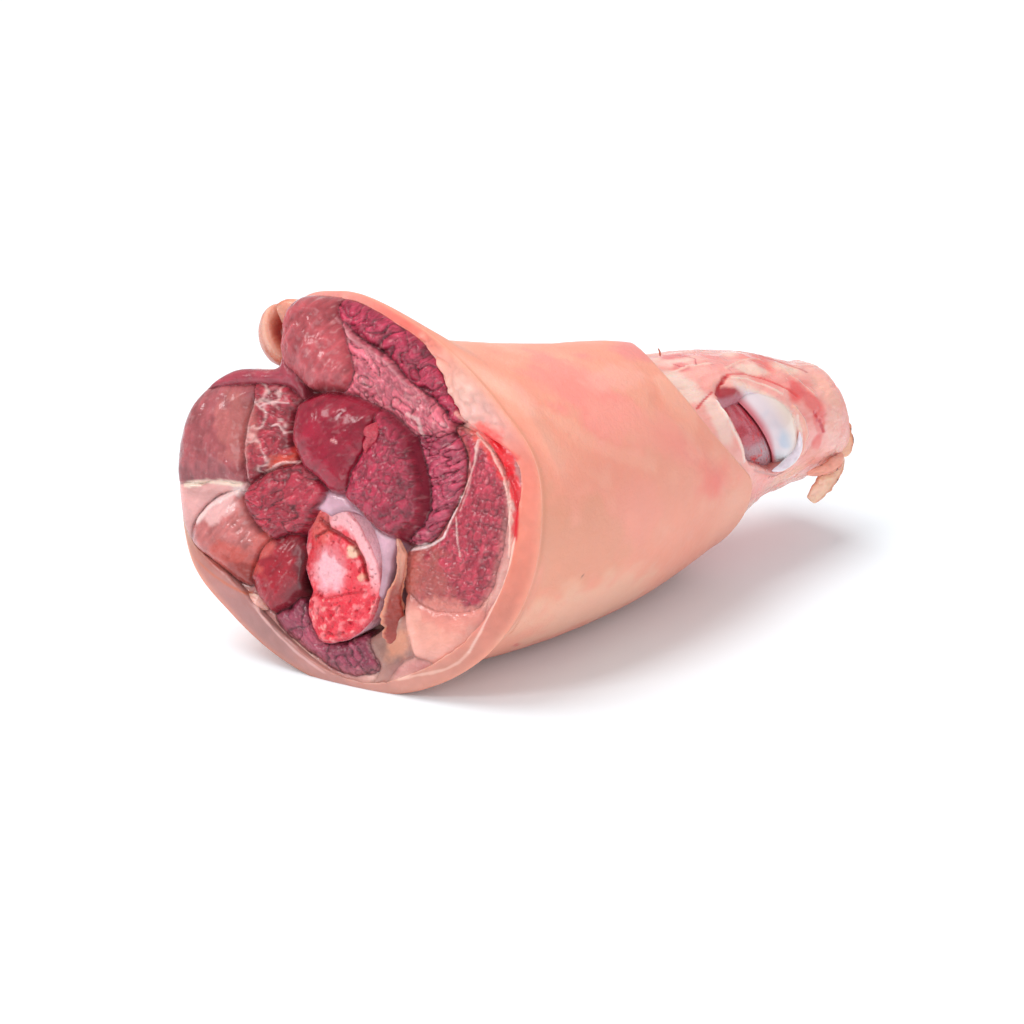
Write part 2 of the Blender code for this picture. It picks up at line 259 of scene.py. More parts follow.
class Sheet:
    """The shader nodes of one finish."""

    def __init__(self, name: str) -> None:
        """Start a material with an empty Principled shader."""
        self.material = bpy.data.materials.new(name)
        self.material.use_nodes = True
        self.tree = self.material.node_tree
        self.shader = self.tree.nodes["Principled BSDF"]
        self.places = self.attribute("weave", "Vector")

    def node(self, kind: str, settings: dict, inputs: dict, output: Union[str, int] = 0) -> Val:
        """Add one node.

        Args:
            kind: The node's type.
            settings: Its own settings, set first.
            inputs: Values or links by socket name or number.
            output: Which output to hand back.

        Returns:
            The wrapped output.
        """
        made = self.tree.nodes.new(kind)
        for key, value in settings.items():
            setattr(made, key, value)
        for key, value in inputs.items():
            if isinstance(value, Val):
                self.tree.links.new(value.socket, made.inputs[key])
            else:
                made.inputs[key].default_value = value
        return Val(self, made.outputs[output])

    def maths(self, operation: str, first: Term, second: Term) -> Val:
        """One Math node."""
        return self.node("ShaderNodeMath", {"operation": operation}, {0: first, 1: second})

    def attribute(self, name: str, output: str = "Fac") -> Val:
        """A value or colour that the mesh carries."""
        return self.node("ShaderNodeAttribute", {"attribute_name": name}, {}, output)

    def stretched(self, stretch: Sequence[float]) -> Val:
        """The mesh's own coordinates along and over its fibres, scaled by axis."""
        return self.node("ShaderNodeMapping", {}, {"Vector": self.places, "Scale": tuple(stretch)})

    def noise(self, size: float, detail: float = 2.0, stretch: Sequence[float] = (1, 1, 1)) -> Val:
        """Noise from 0 to 1 with bumps of the given size in millimetres."""
        inputs = {"Vector": self.stretched(stretch), "Scale": 1 / (size * MM), "Detail": detail}
        return self.node("ShaderNodeTexNoise", {}, inputs, "Fac")

    def shaded(self, colour: Val, amount: Val) -> Val:
        """Multiply a colour by a value."""
        scale = self.node("ShaderNodeCombineColor", {}, {0: amount, 1: amount, 2: amount})
        inputs = {0: 1.0, 6: colour, 7: scale}
        return self.node("ShaderNodeMix", {"data_type": "RGBA", "blend_type": "MULTIPLY"}, inputs, 2)

    def link(self, socket: str, value: Val) -> None:
        """Feed one socket of the shader."""
        self.tree.links.new(value.socket, self.shader.inputs[socket])

    def relief(self, height: Val, depth: float) -> None:
        """Bump the surface by a height of the given depth in millimetres."""
        inputs = {"Height": height, "Strength": 1.0, "Distance": depth * MM}
        self.link("Normal", self.node("ShaderNodeBump", {}, inputs))


@dataclass(frozen=True)
class Finish:
    """A moist raw surface that takes its colours from the mesh."""

    name: str
    roughness: float
    roughness_swing: float
    mottle: float
    mottle_size: float
    relief: float
    relief_size: float
    stretch: tuple = (1, 1, 1)
    scatter: float = 0.2
    scatter_reach: float = 2.0
    scatter_colour: tuple = (1.0, 0.35, 0.2)
    coat: float = 0.0
    specular: float = 0.5
    fine: float = 0.35
    fleck: float = 0.0
    fleck_size: float = 0.6

    def material(self) -> bpy.types.Material:
        """Build the shader nodes."""
        sheet = Sheet(self.name)
        colour = sheet.attribute("tint", "Color")
        mottle = sheet.noise(self.mottle_size, 4.0, self.stretch)
        fleck = sheet.noise(self.fleck_size, 2.0, self.stretch)
        coarse = sheet.attribute("coarse")
        amount = 1 - self.mottle / 2 + mottle * self.mottle + (fleck - 0.5) * self.fleck * coarse
        sheet.link("Base Color", sheet.shaded(colour, amount))
        wet = sheet.attribute("wet")
        patches = sheet.noise(self.mottle_size * 2.5, 2.0)
        level = self.roughness + (patches - 0.5) * self.roughness_swing - wet * 0.25
        sheet.link("Roughness", sheet.node("ShaderNodeMath", {"operation": "MAXIMUM"}, {0: level, 1: 0.08}))
        broad = sheet.noise(self.relief_size, 3.0, self.stretch)
        fine = sheet.noise(self.relief_size * 0.35, 2.0, self.stretch)
        sheet.relief((broad + fine * self.fine) * coarse, self.relief)
        fixed = {
            "Subsurface Weight": self.scatter,
            "Subsurface Radius": self.scatter_colour,
            "Subsurface Scale": self.scatter_reach * MM,
            "Coat Weight": self.coat,
            "Coat Roughness": 0.12,
            "Specular IOR Level": self.specular,
        }
        for socket, value in fixed.items():
            sheet.shader.inputs[socket].default_value = value
        return sheet.material


RIND_FINISH = Finish("moist_rind", 0.46, 0.16, 0.10, 9.0, 0.22, 1.8, (1, 1, 1), 0.25, 2.5)
MEAT_FINISH = Finish(
    "raw_muscle", 0.36, 0.24, 0.3, 2.4, 0.75, 1.5, (0.5, 1, 1), 0.14, 1.4, coat=0.3, specular=0.4, fine=0.45,
    fleck=0.7, fleck_size=0.7,
)
SHEATH_FINISH = Finish("wet_sheath", 0.36, 0.2, 0.14, 3.0, 0.3, 1.6, (0.4, 1, 1), 0.3, 2.5, coat=0.3)
BONE_FINISH = Finish("porous_bone", 0.38, 0.2, 0.25, 1.2, 0.5, 0.9, (1, 1, 1), 0.15, 1.5, coat=0.3)
CARTILAGE_FINISH = Finish(
    "wet_cartilage", 0.2, 0.1, 0.06, 6.0, 0.06, 3.0, (1, 1, 1), 0.3, 3.0, (0.8, 0.6, 0.6), 0.6,
)


class Slot(Enum):
    """The record's material slots."""

    MEAT = "meat"
    BONE = "bone"
    CARTILAGE = "cartilage"


@dataclass
class Maker:
    """Makes pieces from grids whose vertices are moved by a form."""

    materials: dict[str, bpy.types.Material] = field(default_factory=dict)

    def piece(
        self, name: str, columns: int, rows: int, form: Form, finish: Finish, slot: Slot,
        stands_for: tuple = (), close: Union[Closer, None] = None,
    ) -> bpy.types.Object:
        """Build, dress and place one piece.

        Args:
            name: The piece's name.
            columns: Faces across the grid.
            rows: Faces along the grid.
            form: Places each (column share, row share) and gives its mesh values.
            finish: Its surface.
            slot: The record's slot for it; not used.
            stands_for: CAD nodes that it replaces.
            close: Closes the grid's open border, where it has one.

        Returns:
            The new object.
        """
        bm = bmesh.new()
        bmesh.ops.create_grid(bm, x_segments=columns, y_segments=rows, size=1.0)
        flat = np.array([vertex.co for vertex in bm.verts])
        points, values = form(flat[:, 0] * 0.5 + 0.5, flat[:, 1] * 0.5 + 0.5)
        placed = in_place(points)
        tints = bm.verts.layers.float_color.new("tint")
        wets = bm.verts.layers.float.new("wet")
        weaves = bm.verts.layers.float_vector.new("weave")
        coarses = bm.verts.layers.float.new("coarse")
        colours = np.clip(values["tint"], 0, 1)
        wet = values.get("wet", np.zeros(len(placed)))
        weave = values.get("weave", points) * MM
        coarse = values.get("coarse", np.ones(len(placed)))
        for vertex, place, colour, gloss, thread, pile in zip(bm.verts, placed, colours, wet, weave, coarse):
            vertex.co = place
            vertex[tints] = (*colour, 1.0)
            vertex[wets] = gloss
            vertex[weaves] = thread
            vertex[coarses] = pile
        bmesh.ops.remove_doubles(bm, verts=bm.verts, dist=WELD)
        if close:
            close(bm)
        volume = bm.calc_volume(signed=True)
        if volume < 0:
            bmesh.ops.reverse_faces(bm, faces=bm.faces)
        mesh = bpy.data.meshes.new(name)
        bm.to_mesh(mesh)
        bm.free()
        mesh.shade_smooth()
        mesh.materials.append(self.dress(finish))
        piece = bpy.data.objects.new(name, mesh)
        bpy.context.scene.collection.objects.link(piece)
        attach(piece, "root")
        if stands_for:
            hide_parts(*stands_for)
        box = [round(v * 1000, 1) for v in (*placed.min(0), *placed.max(0))]
        LOG.info("%s: %d faces, box %s, volume %.2f cm3", name, len(mesh.polygons), box, abs(volume) * 1e6)
        return piece

    def dress(self, finish: Finish) -> bpy.types.Material:
        """The finish's material, made once."""
        if finish.name not in self.materials:
            self.materials[finish.name] = finish.material()
        return self.materials[finish.name]


@dataclass(frozen=True)
class Body:
    """The knuckle's main form: the plane of the cut, its rim, the sleeve of rind and the hock."""

    cut_centre: tuple = (-42.6, 12.9, 56.0)
    cut_yaw: float = 20.0
    cut_pitch: float = 20.0
    rim_radius: tuple = (
        (0, 63), (18, 60.5), (40, 54.5), (62, 53), (86, 57), (108, 65), (121, 66), (135, 51), (149, 61.4),
        (157, 65.4), (164, 67.4), (188, 66.4), (207, 65.6), (228, 60.5), (250, 59.5), (270, 61), (301, 64),
        (325, 65.6), (342, 65),
    )
    rim_width: tuple = (
        (0, 9), (20, 6), (35, 11), (52, 10), (72, 4), (88, 3.4), (105, 3.2), (120, 1.6), (145, 1.2),
        (170, 1.2), (190, 1.6), (202, 3.5), (212, 9), (233, 9.5), (250, 8), (284, 4), (300, 6.5), (340, 9),
    )
    rim_rise: tuple = ((0, 2), (40, 0), (90, -1), (135, -2), (155, -0.8), (195, -0.6), (225, -1), (300, 0))
    rim_back: float = 2.0
    bead: float = 0.42
    crispness: float = 8.0
    sleeve: tuple = (
        (-60, 12, 52.5, 56, 54), (-36, 8, 50.5, 54, 52), (-10, 2, 47.7, 50.1, 49.4),
        (37, -1, 43.8, 44.2, 45.6), (60, 0, 42.8, 41, 42), (85, 1, 41, 37, 36), (112, 1, 39, 32, 30),
    )
    sleeve_edge: tuple = (
        (0, 85), (11, 77.5), (30, 65.5), (47, 60), (61, 58.5), (83, 63), (103, 72), (140, 80), (180, 80),
        (230, 78), (270, 80), (320, 84), (345, 87),
    )
    flare_near: tuple = (0.75, 15.0)
    flare_far: tuple = (0.25, 70.0)
    hock: tuple = (
        (55, 0, 42, 36, 36), (85, 0, 41, 33.3, 34.2), (105, -1, 40.6, 29.7, 31),
        (118, -1.8, 39.8, 27.3, 28.4), (130, -2.6, 37.9, 24.8, 25.9), (140, -3.2, 36.4, 22.8, 24.2),
        (150, -4, 36.2, 20.8, 21.6), (160, -4, 33, 19, 16),
    )
    hock_flat: float = 0.24
    hock_shoulder: float = 149.2
    hock_tip: float = 3.3
    hock_bluntness: float = 2.6

    def on_cut(self, across: Numbers, up: Numbers, rise: Numbers) -> Numbers:
        """Place points by their distances across, up and in front of the cut's plane."""
        side, top, out = plane_axes(self.cut_yaw, self.cut_pitch)
        spread = [np.asarray(value, float)[..., None] for value in (across, up, rise)]
        return np.array(self.cut_centre) + spread[0] * side + spread[1] * top + spread[2] * out

    def on_tube(self, stations: tuple, x: Numbers, angle: Numbers) -> Numbers:
        """Points on a tube of upright elliptical sections."""
        table = np.array(stations, float)
        y, z, width, height = [through(table[:, 0], table[:, column], x) for column in range(1, 5)]
        turn = np.radians(angle)
        return np.stack([x + 0 * y, y - width * np.cos(turn), z + height * np.sin(turn)], -1)

    def lip(self, angle: Numbers, t: Numbers) -> Numbers:
        """The lip of the rind: a round inner bead, then a flat band down to a crisp outer edge."""
        turn = np.radians(angle)
        width = around(self.rim_width, angle)
        radius = around(self.rim_radius, angle) - width * (0.5 + 0.5 * np.cos(np.pi * t))
        bead = np.sqrt(1 - (1 - np.clip(t / 0.32, 0, 1)) ** 2)
        slope = 1 - 0.5 * ease(0.3, 1.0, t)
        rise = around(self.rim_rise, angle) + self.bead * width * bead * slope - self.rim_back * t
        return self.on_cut(radius * np.cos(turn), radius * np.sin(turn), rise)

    def skin(self, angle: Numbers, t: Numbers) -> Numbers:
        """The sleeve of rind, from the lip's outer edge at 0 to its narrow edge at 1."""
        start = self.lip(angle, np.ones_like(angle))
        x = start[..., 0] * (1 - t) + around(self.sleeve_edge, angle) * t
        beyond = x - start[..., 0]
        flare = start - self.on_tube(self.sleeve, start[..., 0], angle)
        near_side = np.clip(np.cos(np.radians(angle)) * 1.6, 0, 1)
        short = self.flare_near[1] - self.crispness * near_side
        keep = self.flare_near[0] * (1 - ease(0, 1, beyond / short))
        keep = keep + self.flare_far[0] * (1 - ease(0, self.flare_far[1], beyond))
        return self.on_tube(self.sleeve, x, angle) + flare * keep[..., None]

    def on_hock(self, x: Numbers, angle: Numbers) -> Numbers:
        """Points on the hock, which is flatter below its joint."""
        points = self.on_tube(self.hock, x, angle)
        middle = self.axis(self.hock, x)
        flatter = 1 - self.hock_flat * ease(80, 110, x) * (points[..., 2] < middle[..., 2])
        points[..., 2] = middle[..., 2] + (points[..., 2] - middle[..., 2]) * flatter
        return points

    def axis(self, stations: tuple, x: Numbers) -> Numbers:
        """The middle of a tube at x."""
        table = np.array(stations, float)
        return np.stack([x, through(table[:, 0], table[:, 1], x), through(table[:, 0], table[:, 2], x)], -1)


BODY = Body()


@dataclass(frozen=True)
class Patch:
    """A soft oval of colour: its middle, half sizes, turn, screen colour and strength."""

    x: float
    y: float
    half_x: float
    half_y: float
    turn: float
    colour: tuple
    strength: float = 1.0
    ragged: float = 0.25
    solid: float = 0.55

    def share(self, x: Numbers, y: Numbers, grain: Numbers) -> Numbers:
        """How much of the patch shows at each place."""
        turn = np.radians(self.turn)
        u = ((x - self.x) * np.cos(turn) + (y - self.y) * np.sin(turn)) / self.half_x
        v = ((y - self.y) * np.cos(turn) - (x - self.x) * np.sin(turn)) / self.half_y
        return self.strength * (1 - ease(self.solid, 1.15, np.hypot(u, v) + self.ragged * grain))


@dataclass(frozen=True)
class Strand:
    """A streak along a few points: its width, screen colour, strength and how far it stands up."""

    points: tuple
    width: float
    colour: tuple
    strength: float = 0.9
    rise: float = 0.3

    def share(self, x: Numbers, y: Numbers, grain: Numbers) -> Numbers:
        """How much of the streak shows at each place."""
        away = np.full(x.shape, 99.0)
        for (ax, ay), (bx, by) in zip(self.points, self.points[1:]):
            run = np.array([bx - ax, by - ay], float)
            t = np.clip(((x - ax) * run[0] + (y - ay) * run[1]) / (run @ run), 0, 1)
            away = np.minimum(away, np.hypot(x - ax - t * run[0], y - ay - t * run[1]))
        width = self.width * (0.75 + 0.5 * grain)
        return 1 - ease(0.25, 1.0, away / np.maximum(width, 0.1))


class Cutting(Enum):
    """How a muscle's fibres show where it was cut."""

    STRANDS = "fibres torn along the surface"
    MOSAIC = "bundles cut across"
    MEMBRANE = "smooth under its own skin"
    FAT = "soft fat or sinew without fibres"

    def coarseness(self) -> float:
        """How strongly the finest relief shows."""
        return {"STRANDS": 0.75, "MOSAIC": 0.45, "MEMBRANE": 0.2, "FAT": 0.2}[self.name]


def smooth_loop(corners: Sequence[tuple], steps: int = 3) -> Numbers:
    """Round a closed outline through its corners."""
    corner = np.array(corners, float)
    before = np.roll(corner, 1, 0)
    after = np.roll(corner, -1, 0)
    beyond = np.roll(corner, -2, 0)
    rounded = []
    for t in np.arange(steps) / steps:
        rounded.append(
            0.5 * (2 * corner + (after - before) * t + (2 * before - 5 * corner + 4 * after - beyond) * t**2
                   + (3 * corner - before - 3 * after + beyond) * t**3)
        )
    return np.stack(rounded, 1).reshape(-1, 2)


def inside_by(x: Numbers, y: Numbers, loop: Numbers) -> Numbers:
    """Distance inside a closed outline, below zero outside it."""
    away = np.full(x.shape, 1e9)
    inside = np.zeros(x.shape, bool)
    for (ax, ay), (bx, by) in zip(loop, np.roll(loop, -1, 0)):
        run_x = bx - ax
        run_y = by - ay
        t = np.clip(((x - ax) * run_x + (y - ay) * run_y) / max(run_x**2 + run_y**2, 1e-9), 0, 1)
        away = np.minimum(away, (x - ax - t * run_x) ** 2 + (y - ay - t * run_y) ** 2)
        if ay != by:
            crosses = ((ay > y) != (by > y)) & (x < run_x * (y - ay) / run_y + ax)
            inside ^= crosses
    return np.where(inside, 1, -1) * np.sqrt(away)


@dataclass(frozen=True)
class Muscle:
    """One muscle of the cut face: the ground that it covers, its pillow form and its looks."""

    outline: tuple
    level: float
    crown: float
    shoulder: float
    colour: tuple
    cutting: Cutting = Cutting.MEMBRANE
    fibre_turn: float = 0.0
    grain: float = 0.5
    bundle: float = 3.0
    marbling: float = 0.0
    specks: float = 0.3
    edge_colour: tuple = (120, 40, 52)
    edge: float = 0.5
    fall: float = 2.4
    # How strongly painted shade shows in this muscle's seams; low values blend its looks with its neighbour's
    # instead.
    seam: float = 1.0
    reach: float = 5.0

    def height(self, across: Numbers, up: Numbers) -> tuple[Numbers, Numbers]:
        """Height above the plane of the cut, and the distance inside the outline."""
        loop = smooth_loop(self.outline)
        low = loop.min(0) - self.reach
        high = loop.max(0) + self.reach
        near = (across > low[0]) & (across < high[0]) & (up > low[1]) & (up < high[1])
        depth = np.full(across.shape, -99.0)
        depth[near] = inside_by(across[near], up[near], loop)
        t = np.clip(depth / self.shoulder, 0, 1)
        rise = self.level + self.crown * np.sqrt(1 - (1 - t) ** 2)
        return np.where(depth < 0, self.level + self.fall * depth, rise), depth

    def along(self, across: Numbers, up: Numbers) -> tuple[Numbers, Numbers]:
        """Distances along the fibres and over them."""
        turn = np.radians(self.fibre_turn)
        return across * np.cos(turn) + up * np.sin(turn), up * np.cos(turn) - across * np.sin(turn)

    def surface(self, across: Numbers, up: Numbers, grain: Grain) -> tuple[Numbers, Numbers, Numbers]:
        """Texture of the muscle, by how it was cut.

        Args:
            across: First coordinate on the cut.
            up: Second coordinate on the cut.
            grain: The noise to use.

        Returns:
            Fine relief in millimetres, tone from -1 to 1, and painted shade in the cracks and pits, where the
            relief dips, from 0 to 1.
        """
        run, over = self.along(across, up)
        warp = grain.smooth(planar(across, up), 5.0)
        flat = planar(across, up)
        if self.cutting is Cutting.STRANDS:
            wide = grain.smooth(planar(run / 4.2 + warp * 0.4, over / (0.75 * self.bundle) + warp * 0.6), 1.0)
            thin = grain.rough(planar(run / 2.6 + warp * 0.5, over / 1.3 + warp), 1.0, 2)
            split = 1 - ease(0.0, 0.15, np.abs(wide))
            hair = 1 - ease(0.0, 0.20, np.abs(thin))
            cords = grain.rough(flat, 1.5, 2)
            raised = 0.8 * np.abs(wide) + 0.5 * np.abs(thin) + 0.3 * cords
            relief = self.grain * (raised - 0.6 * split - 0.3 * hair)
            return relief, 0.4 * wide + 0.4 * thin + 0.4 * cords, 0.8 * split + 0.45 * hair
        if self.cutting is Cutting.MOSAIC:
            border, tone = grain.cells(run / 1.4 + warp * 0.5, over + warp * 0.5, self.bundle)
            split = 1 - ease(0.0, 0.7, border)
            pebbles = grain.rough(flat, 1.2, 2)
            pits = 1 - ease(0.0, 0.25, np.abs(grain.rough(flat + 11, 2.2, 2)))
            relief = self.grain * (0.6 * pebbles - 0.4 * split - 0.5 * pits)
            return relief, 0.4 * tone + 0.6 * pebbles, 0.3 * split + 0.45 * pits
        if self.cutting is Cutting.FAT:
            return self.grain * 0.6 * grain.rough(flat, 3.5, 3), 0.4 * grain.rough(flat, 4.0, 3), 0 * run
        lines = grain.rough(planar(run / 7, over / 0.9), 1.0, 2)
        dents = grain.rough(flat, 2.2, 3)
        return self.grain * (0.3 * lines + 0.6 * dents), 0.4 * lines + 0.6 * dents, 0 * run


WHITE_SINEW = (242, 214, 212)
BAND_FLESH = (214, 158, 150)
FAR_MEMBRANE = Muscle(
    ((-69, 12.4), (-69, 19), (-66, 23), (-59.1, 24.2), (-53.9, 26.5), (-47.5, 27.8), (-41.7, 28.3),
     (-39.9, 26.4), (-41.6, 23.3), (-42.9, 18.3), (-43.2, 13.1), (-43.1, 8), (-41.8, 2.8), (-40, -1.4),
     (-43, -3.5), (-49.6, -3.3), (-57.5, -5.2), (-67, -7.2), (-70, -2.4), (-70, 2.5), (-70, 7)),
    1.0, 4.5, 13.0, (158, 80, 85), Cutting.MEMBRANE, 88, 0.5, specks=0.25, edge=0.15, seam=0.2,
)
TOP_STRIP = Muscle(
    ((-65, 24.5), (-61, 32), (-55, 37), (-46.5, 40), (-38, 40), (-33, 41), (-27.5, 36), (-24.1, 29.4),
     (-23.1, 26), (-27, 27.7), (-30.9, 29.3), (-36.7, 29.1), (-42.4, 28.5), (-48.1, 27.4),
     (-54.1, 25.9)),
    1.0, 2.5, 4.0, (160, 61, 76), Cutting.MEMBRANE, 10, 0.5, specks=0.3, edge=0.4, seam=0.4,
)
MARBLED = Muscle(
    ((-41.2, 28.7), (-36.2, 29.4), (-30.4, 29.3), (-25.7, 27.2), (-23.8, 24.6), (-25.8, 21.5),
     (-26.5, 16.9), (-25.4, 12.3), (-22.6, 8.7), (-22.1, 5.6), (-27.2, 4.1), (-32.4, 2.3), (-35, 0.3),
     (-37.5, -2.3), (-39.7, -1.7), (-41.2, 2.8), (-42.5, 8.1), (-42.6, 13.2), (-42.4, 18.3),
     (-41, 23.3)),
    2.0, 2.6, 5.0, (168, 53, 67), Cutting.MOSAIC, 30, 0.45, 2.6, marbling=0.8, specks=0.5, edge=0.25,
    seam=0.25,
)
SINEW_STRIP = Muscle(
    ((-69, -7.3), (-57.3, -5.5), (-52.1, -3.4), (-44.8, -3.2), (-40.1, -2.1), (-40.8, -5.1),
     (-47.2, -6.5), (-52.8, -10.3), (-56.4, -15.4), (-57.4, -21.1), (-58, -26.5), (-62, -29.5),
     (-66, -20.5), (-69, -11.6)),
    1.2, 1.2, 3.0, (214, 157, 154), Cutting.FAT, 0, 0.4, specks=0.0, edge=0.0, seam=0.1,
)
SALMON = Muscle(
    ((-57.8, -20.8), (-56.1, -15.7), (-52.4, -10.5), (-46.8, -6.4), (-41.4, -3.6), (-40.4, -7.6),
     (-37.5, -11.6), (-33.4, -16.4), (-29, -18.5), (-31.2, -22.7), (-33, -27.5), (-33.4, -34),
     (-38.9, -34.5), (-45.1, -33), (-51.8, -30.6), (-58, -28)),
    0.0, 4.5, 10.0, (180, 103, 101), Cutting.MEMBRANE, 60, 0.5, specks=0.35, edge=0.35, seam=0.45,
)
TORN_HEART = Muscle(
    ((-39, -7.1), (-37.1, -2.6), (-32.6, 1), (-28, 3.6), (-23.2, 5.3), (-19.5, 6.9), (-15.6, 4.7),
     (-11.7, 0.9), (-11.1, -2.8), (-13.5, -5.7), (-14, -9.3), (-16.5, -13.5), (-21.5, -15.6),
     (-26.2, -18.3), (-30.9, -15.9), (-35.2, -12.2)),
    4.0, 2.4, 4.0, (168, 44, 63), Cutting.STRANDS, 25, 0.6, 3.2, specks=0.35, edge=0.3,
)
BROWN_OVAL = Muscle(
    ((-33, -31.3), (-32, -26.3), (-30, -20.9), (-27, -17.2), (-22.2, -15.1), (-18.7, -14.8),
     (-16.3, -17.9), (-14.1, -22.9), (-12.7, -27.1), (-10.5, -31.2), (-14.9, -33.2), (-18.6, -37.1),
     (-22.5, -39.7), (-24.8, -41.1), (-28.9, -38), (-31.7, -34.6)),
    1.5, 4.5, 8.0, (150, 31, 45), Cutting.MEMBRANE, 60, 0.6, specks=0.3, edge=0.5,
)
UNDER_BONE = Muscle(
    ((-24.7, -41.7), (-20.1, -38.7), (-16, -35.4), (-12.7, -38), (-9.5, -43.8), (-5.8, -46.9), (-0.1, -46.5),
     (5.8, -43.5), (9.9, -42.7), (12.8, -47.2), (15.4, -50.5), (13.9, -54), (7.2, -56.5), (2.2, -56.2),
     (-2.3, -55.1), (-6.9, -53.1), (-13.4, -50.8), (-18.5, -48.3), (-22.7, -45.2)),
    -1.5, 2.6, 5.0, (153, 63, 86), Cutting.STRANDS, -28, 0.6, 3.4, specks=0.35, edge=0.35, seam=0.6,
)
FRONT_BULB = Muscle(
    ((-24, 17.8), (-23.5, 22.5), (-21.5, 25.9), (-17.1, 28.3), (-12.3, 29.4), (-6.2, 29), (-0.8, 28.3),
     (4, 26.8), (4.6, 21.5), (3, 15.3), (-0.3, 7.6), (-1, 1.2), (-6.7, 0.1), (-12.1, 2.4), (-16.9, 5.4),
     (-20.6, 9.4), (-23.3, 13.5)),
    5.5, 5.0, 9.0, (146, 23, 48), Cutting.MEMBRANE, 40, 0.35, specks=0.2, edge=0.3,
)
FRONT_LOBE = Muscle(
    ((4.2, 26.8), (8.7, 25.3), (11.8, 23.3), (16.1, 19.6), (18.9, 15.1), (21.2, 10.2), (22.4, 5.2),
     (23.1, -0.9), (21.3, -4.9), (17.8, -8.5), (14.9, -9.9), (11.1, -9.3), (7.1, -7.3), (2.3, -3.7),
     (-2.1, -0.7), (-1.9, 2.2), (-1, 7.6), (1.9, 15.3), (3, 21.4)),
    6.0, 4.6, 7.0, (163, 44, 69), Cutting.MOSAIC, 60, 0.6, 3.0, specks=0.25, edge=0.45,
)
TOP_BULB = Muscle(
    ((-35.4, 46.1), (-36.5, 52), (-35, 58), (-30, 62), (-23, 63), (-18, 60), (-14.9, 53), (-10.4, 45.5),
     (-6.9, 37.5), (-8.7, 31.3), (-13.8, 29.9), (-19.2, 29.7), (-23.3, 30.7), (-27.3, 33.3),
     (-31.7, 35.8), (-34.6, 40.6)),
    1.5, 8.0, 13.0, (183, 81, 88), Cutting.MEMBRANE, 62, 1.0, specks=0.5, edge=0.25, seam=0.35,
)
DARK_CRESCENT = Muscle(
    ((-18.1, 56.4), (-16, 59.5), (-10.6, 60), (-3.8, 59.5), (2.5, 58.5), (9, 56), (14.5, 53),
     (19.8, 49.4), (24.6, 45), (28.4, 39.4), (31.4, 33.8), (33.6, 29.3), (31.8, 27.5), (28.5, 26.7),
     (26.1, 26.6), (24.7, 28.9), (21.1, 31.7), (15.8, 34.7), (10.4, 37.6), (5.6, 41.3), (1.3, 44.1),
     (-4.7, 46.1), (-10.1, 48.7), (-14.7, 51.2), (-17, 54.1)),
    0.0, 2.4, 4.0, (182, 53, 82), Cutting.STRANDS, 35, 0.9, 4.2, specks=0.3, edge=0.35,
)
PALE_CORDS = Muscle(
    ((-14, 52.7), (-8.7, 48.5), (-3.3, 45.8), (2.6, 43.8), (7.3, 40.8), (12.1, 37.1), (17.5, 34.2),
     (22.7, 31.6), (26.3, 28.4), (28.7, 24.8), (25.1, 21.7), (19.9, 21.6), (15.5, 20.9), (11.7, 23.1),
     (7.8, 25.3), (2.6, 27), (-2.5, 28.4), (-7, 29.6), (-10.6, 30), (-8.2, 37.3), (-11.7, 45.2)),
    1.5, 3.2, 6.0, (217, 106, 123), Cutting.STRANDS, -42, 0.75, 3.0, marbling=0.2, specks=0.7, edge=0.2,
    seam=0.5,
)
DARK_CORDS = Muscle(
    ((10.9, 22.7), (14, 18.8), (16.5, 14.3), (18.7, 9.3), (19.7, 3.2), (19.9, -2), (18.2, -6.4), (16.6, -9.5),
     (18.7, -11.6), (23.6, -11.4), (27.3, -8.6), (29.7, -4.8), (32, 0.3), (33.5, 5.5), (34.1, 10.2),
     (34.4, 14.9), (32.8, 19.9), (29.6, 23.1), (26.5, 25.1), (21.6, 25.6), (16.2, 24.8)),
    -0.5, 2.4, 6.0, (186, 71, 96), Cutting.STRANDS, 30, 0.9, 2.0, specks=0.5, edge=0.3,
)
NEAR_MUSCLE = Muscle(
    ((28.5, 25.4), (34.9, 25.8), (39.9, 22.3), (43.6, 18.5), (47.5, 13.3), (50.5, 7.7), (53.2, -0.5),
     (53.9, -6.8), (52.2, -12.4), (50.9, -19.1), (49.6, -23.6), (47.4, -28.3), (42.2, -32.1),
     (36.1, -32.9), (30.4, -33.3), (26.2, -31.6), (22, -29.2), (19.4, -25.9), (17.9, -21.2),
     (18.1, -16.1), (20.4, -12.9), (25.6, -10.8), (28.7, -7.1), (31.6, -1.6), (33.7, 4.3), (34.8, 10.3),
     (34.5, 15.9), (32.3, 20.8)),
    -0.5, 2.6, 8.0, (178, 60, 78), Cutting.MOSAIC, 80, 0.45, 2.2, specks=0.35,
    edge_colour=(198, 118, 110), edge=0.6, seam=0.15,
)
PALE_FAT = Muscle(
    ((21, -26), (26.5, -28), (32, -28.5), (39, -28), (45.5, -26), (49, -21.5),
     (49.7, -29.8), (47.2, -35.3), (44.7, -40.7), (41.9, -46.2), (36.3, -47.6), (30.5, -46.2),
     (26.2, -45.4), (23.8, -41.5), (21.2, -36.3)),
    0.3, 1.4, 5.0, (232, 164, 150), Cutting.FAT, 20, 0.6, specks=0.1, edge=0.0, seam=0.15,
)
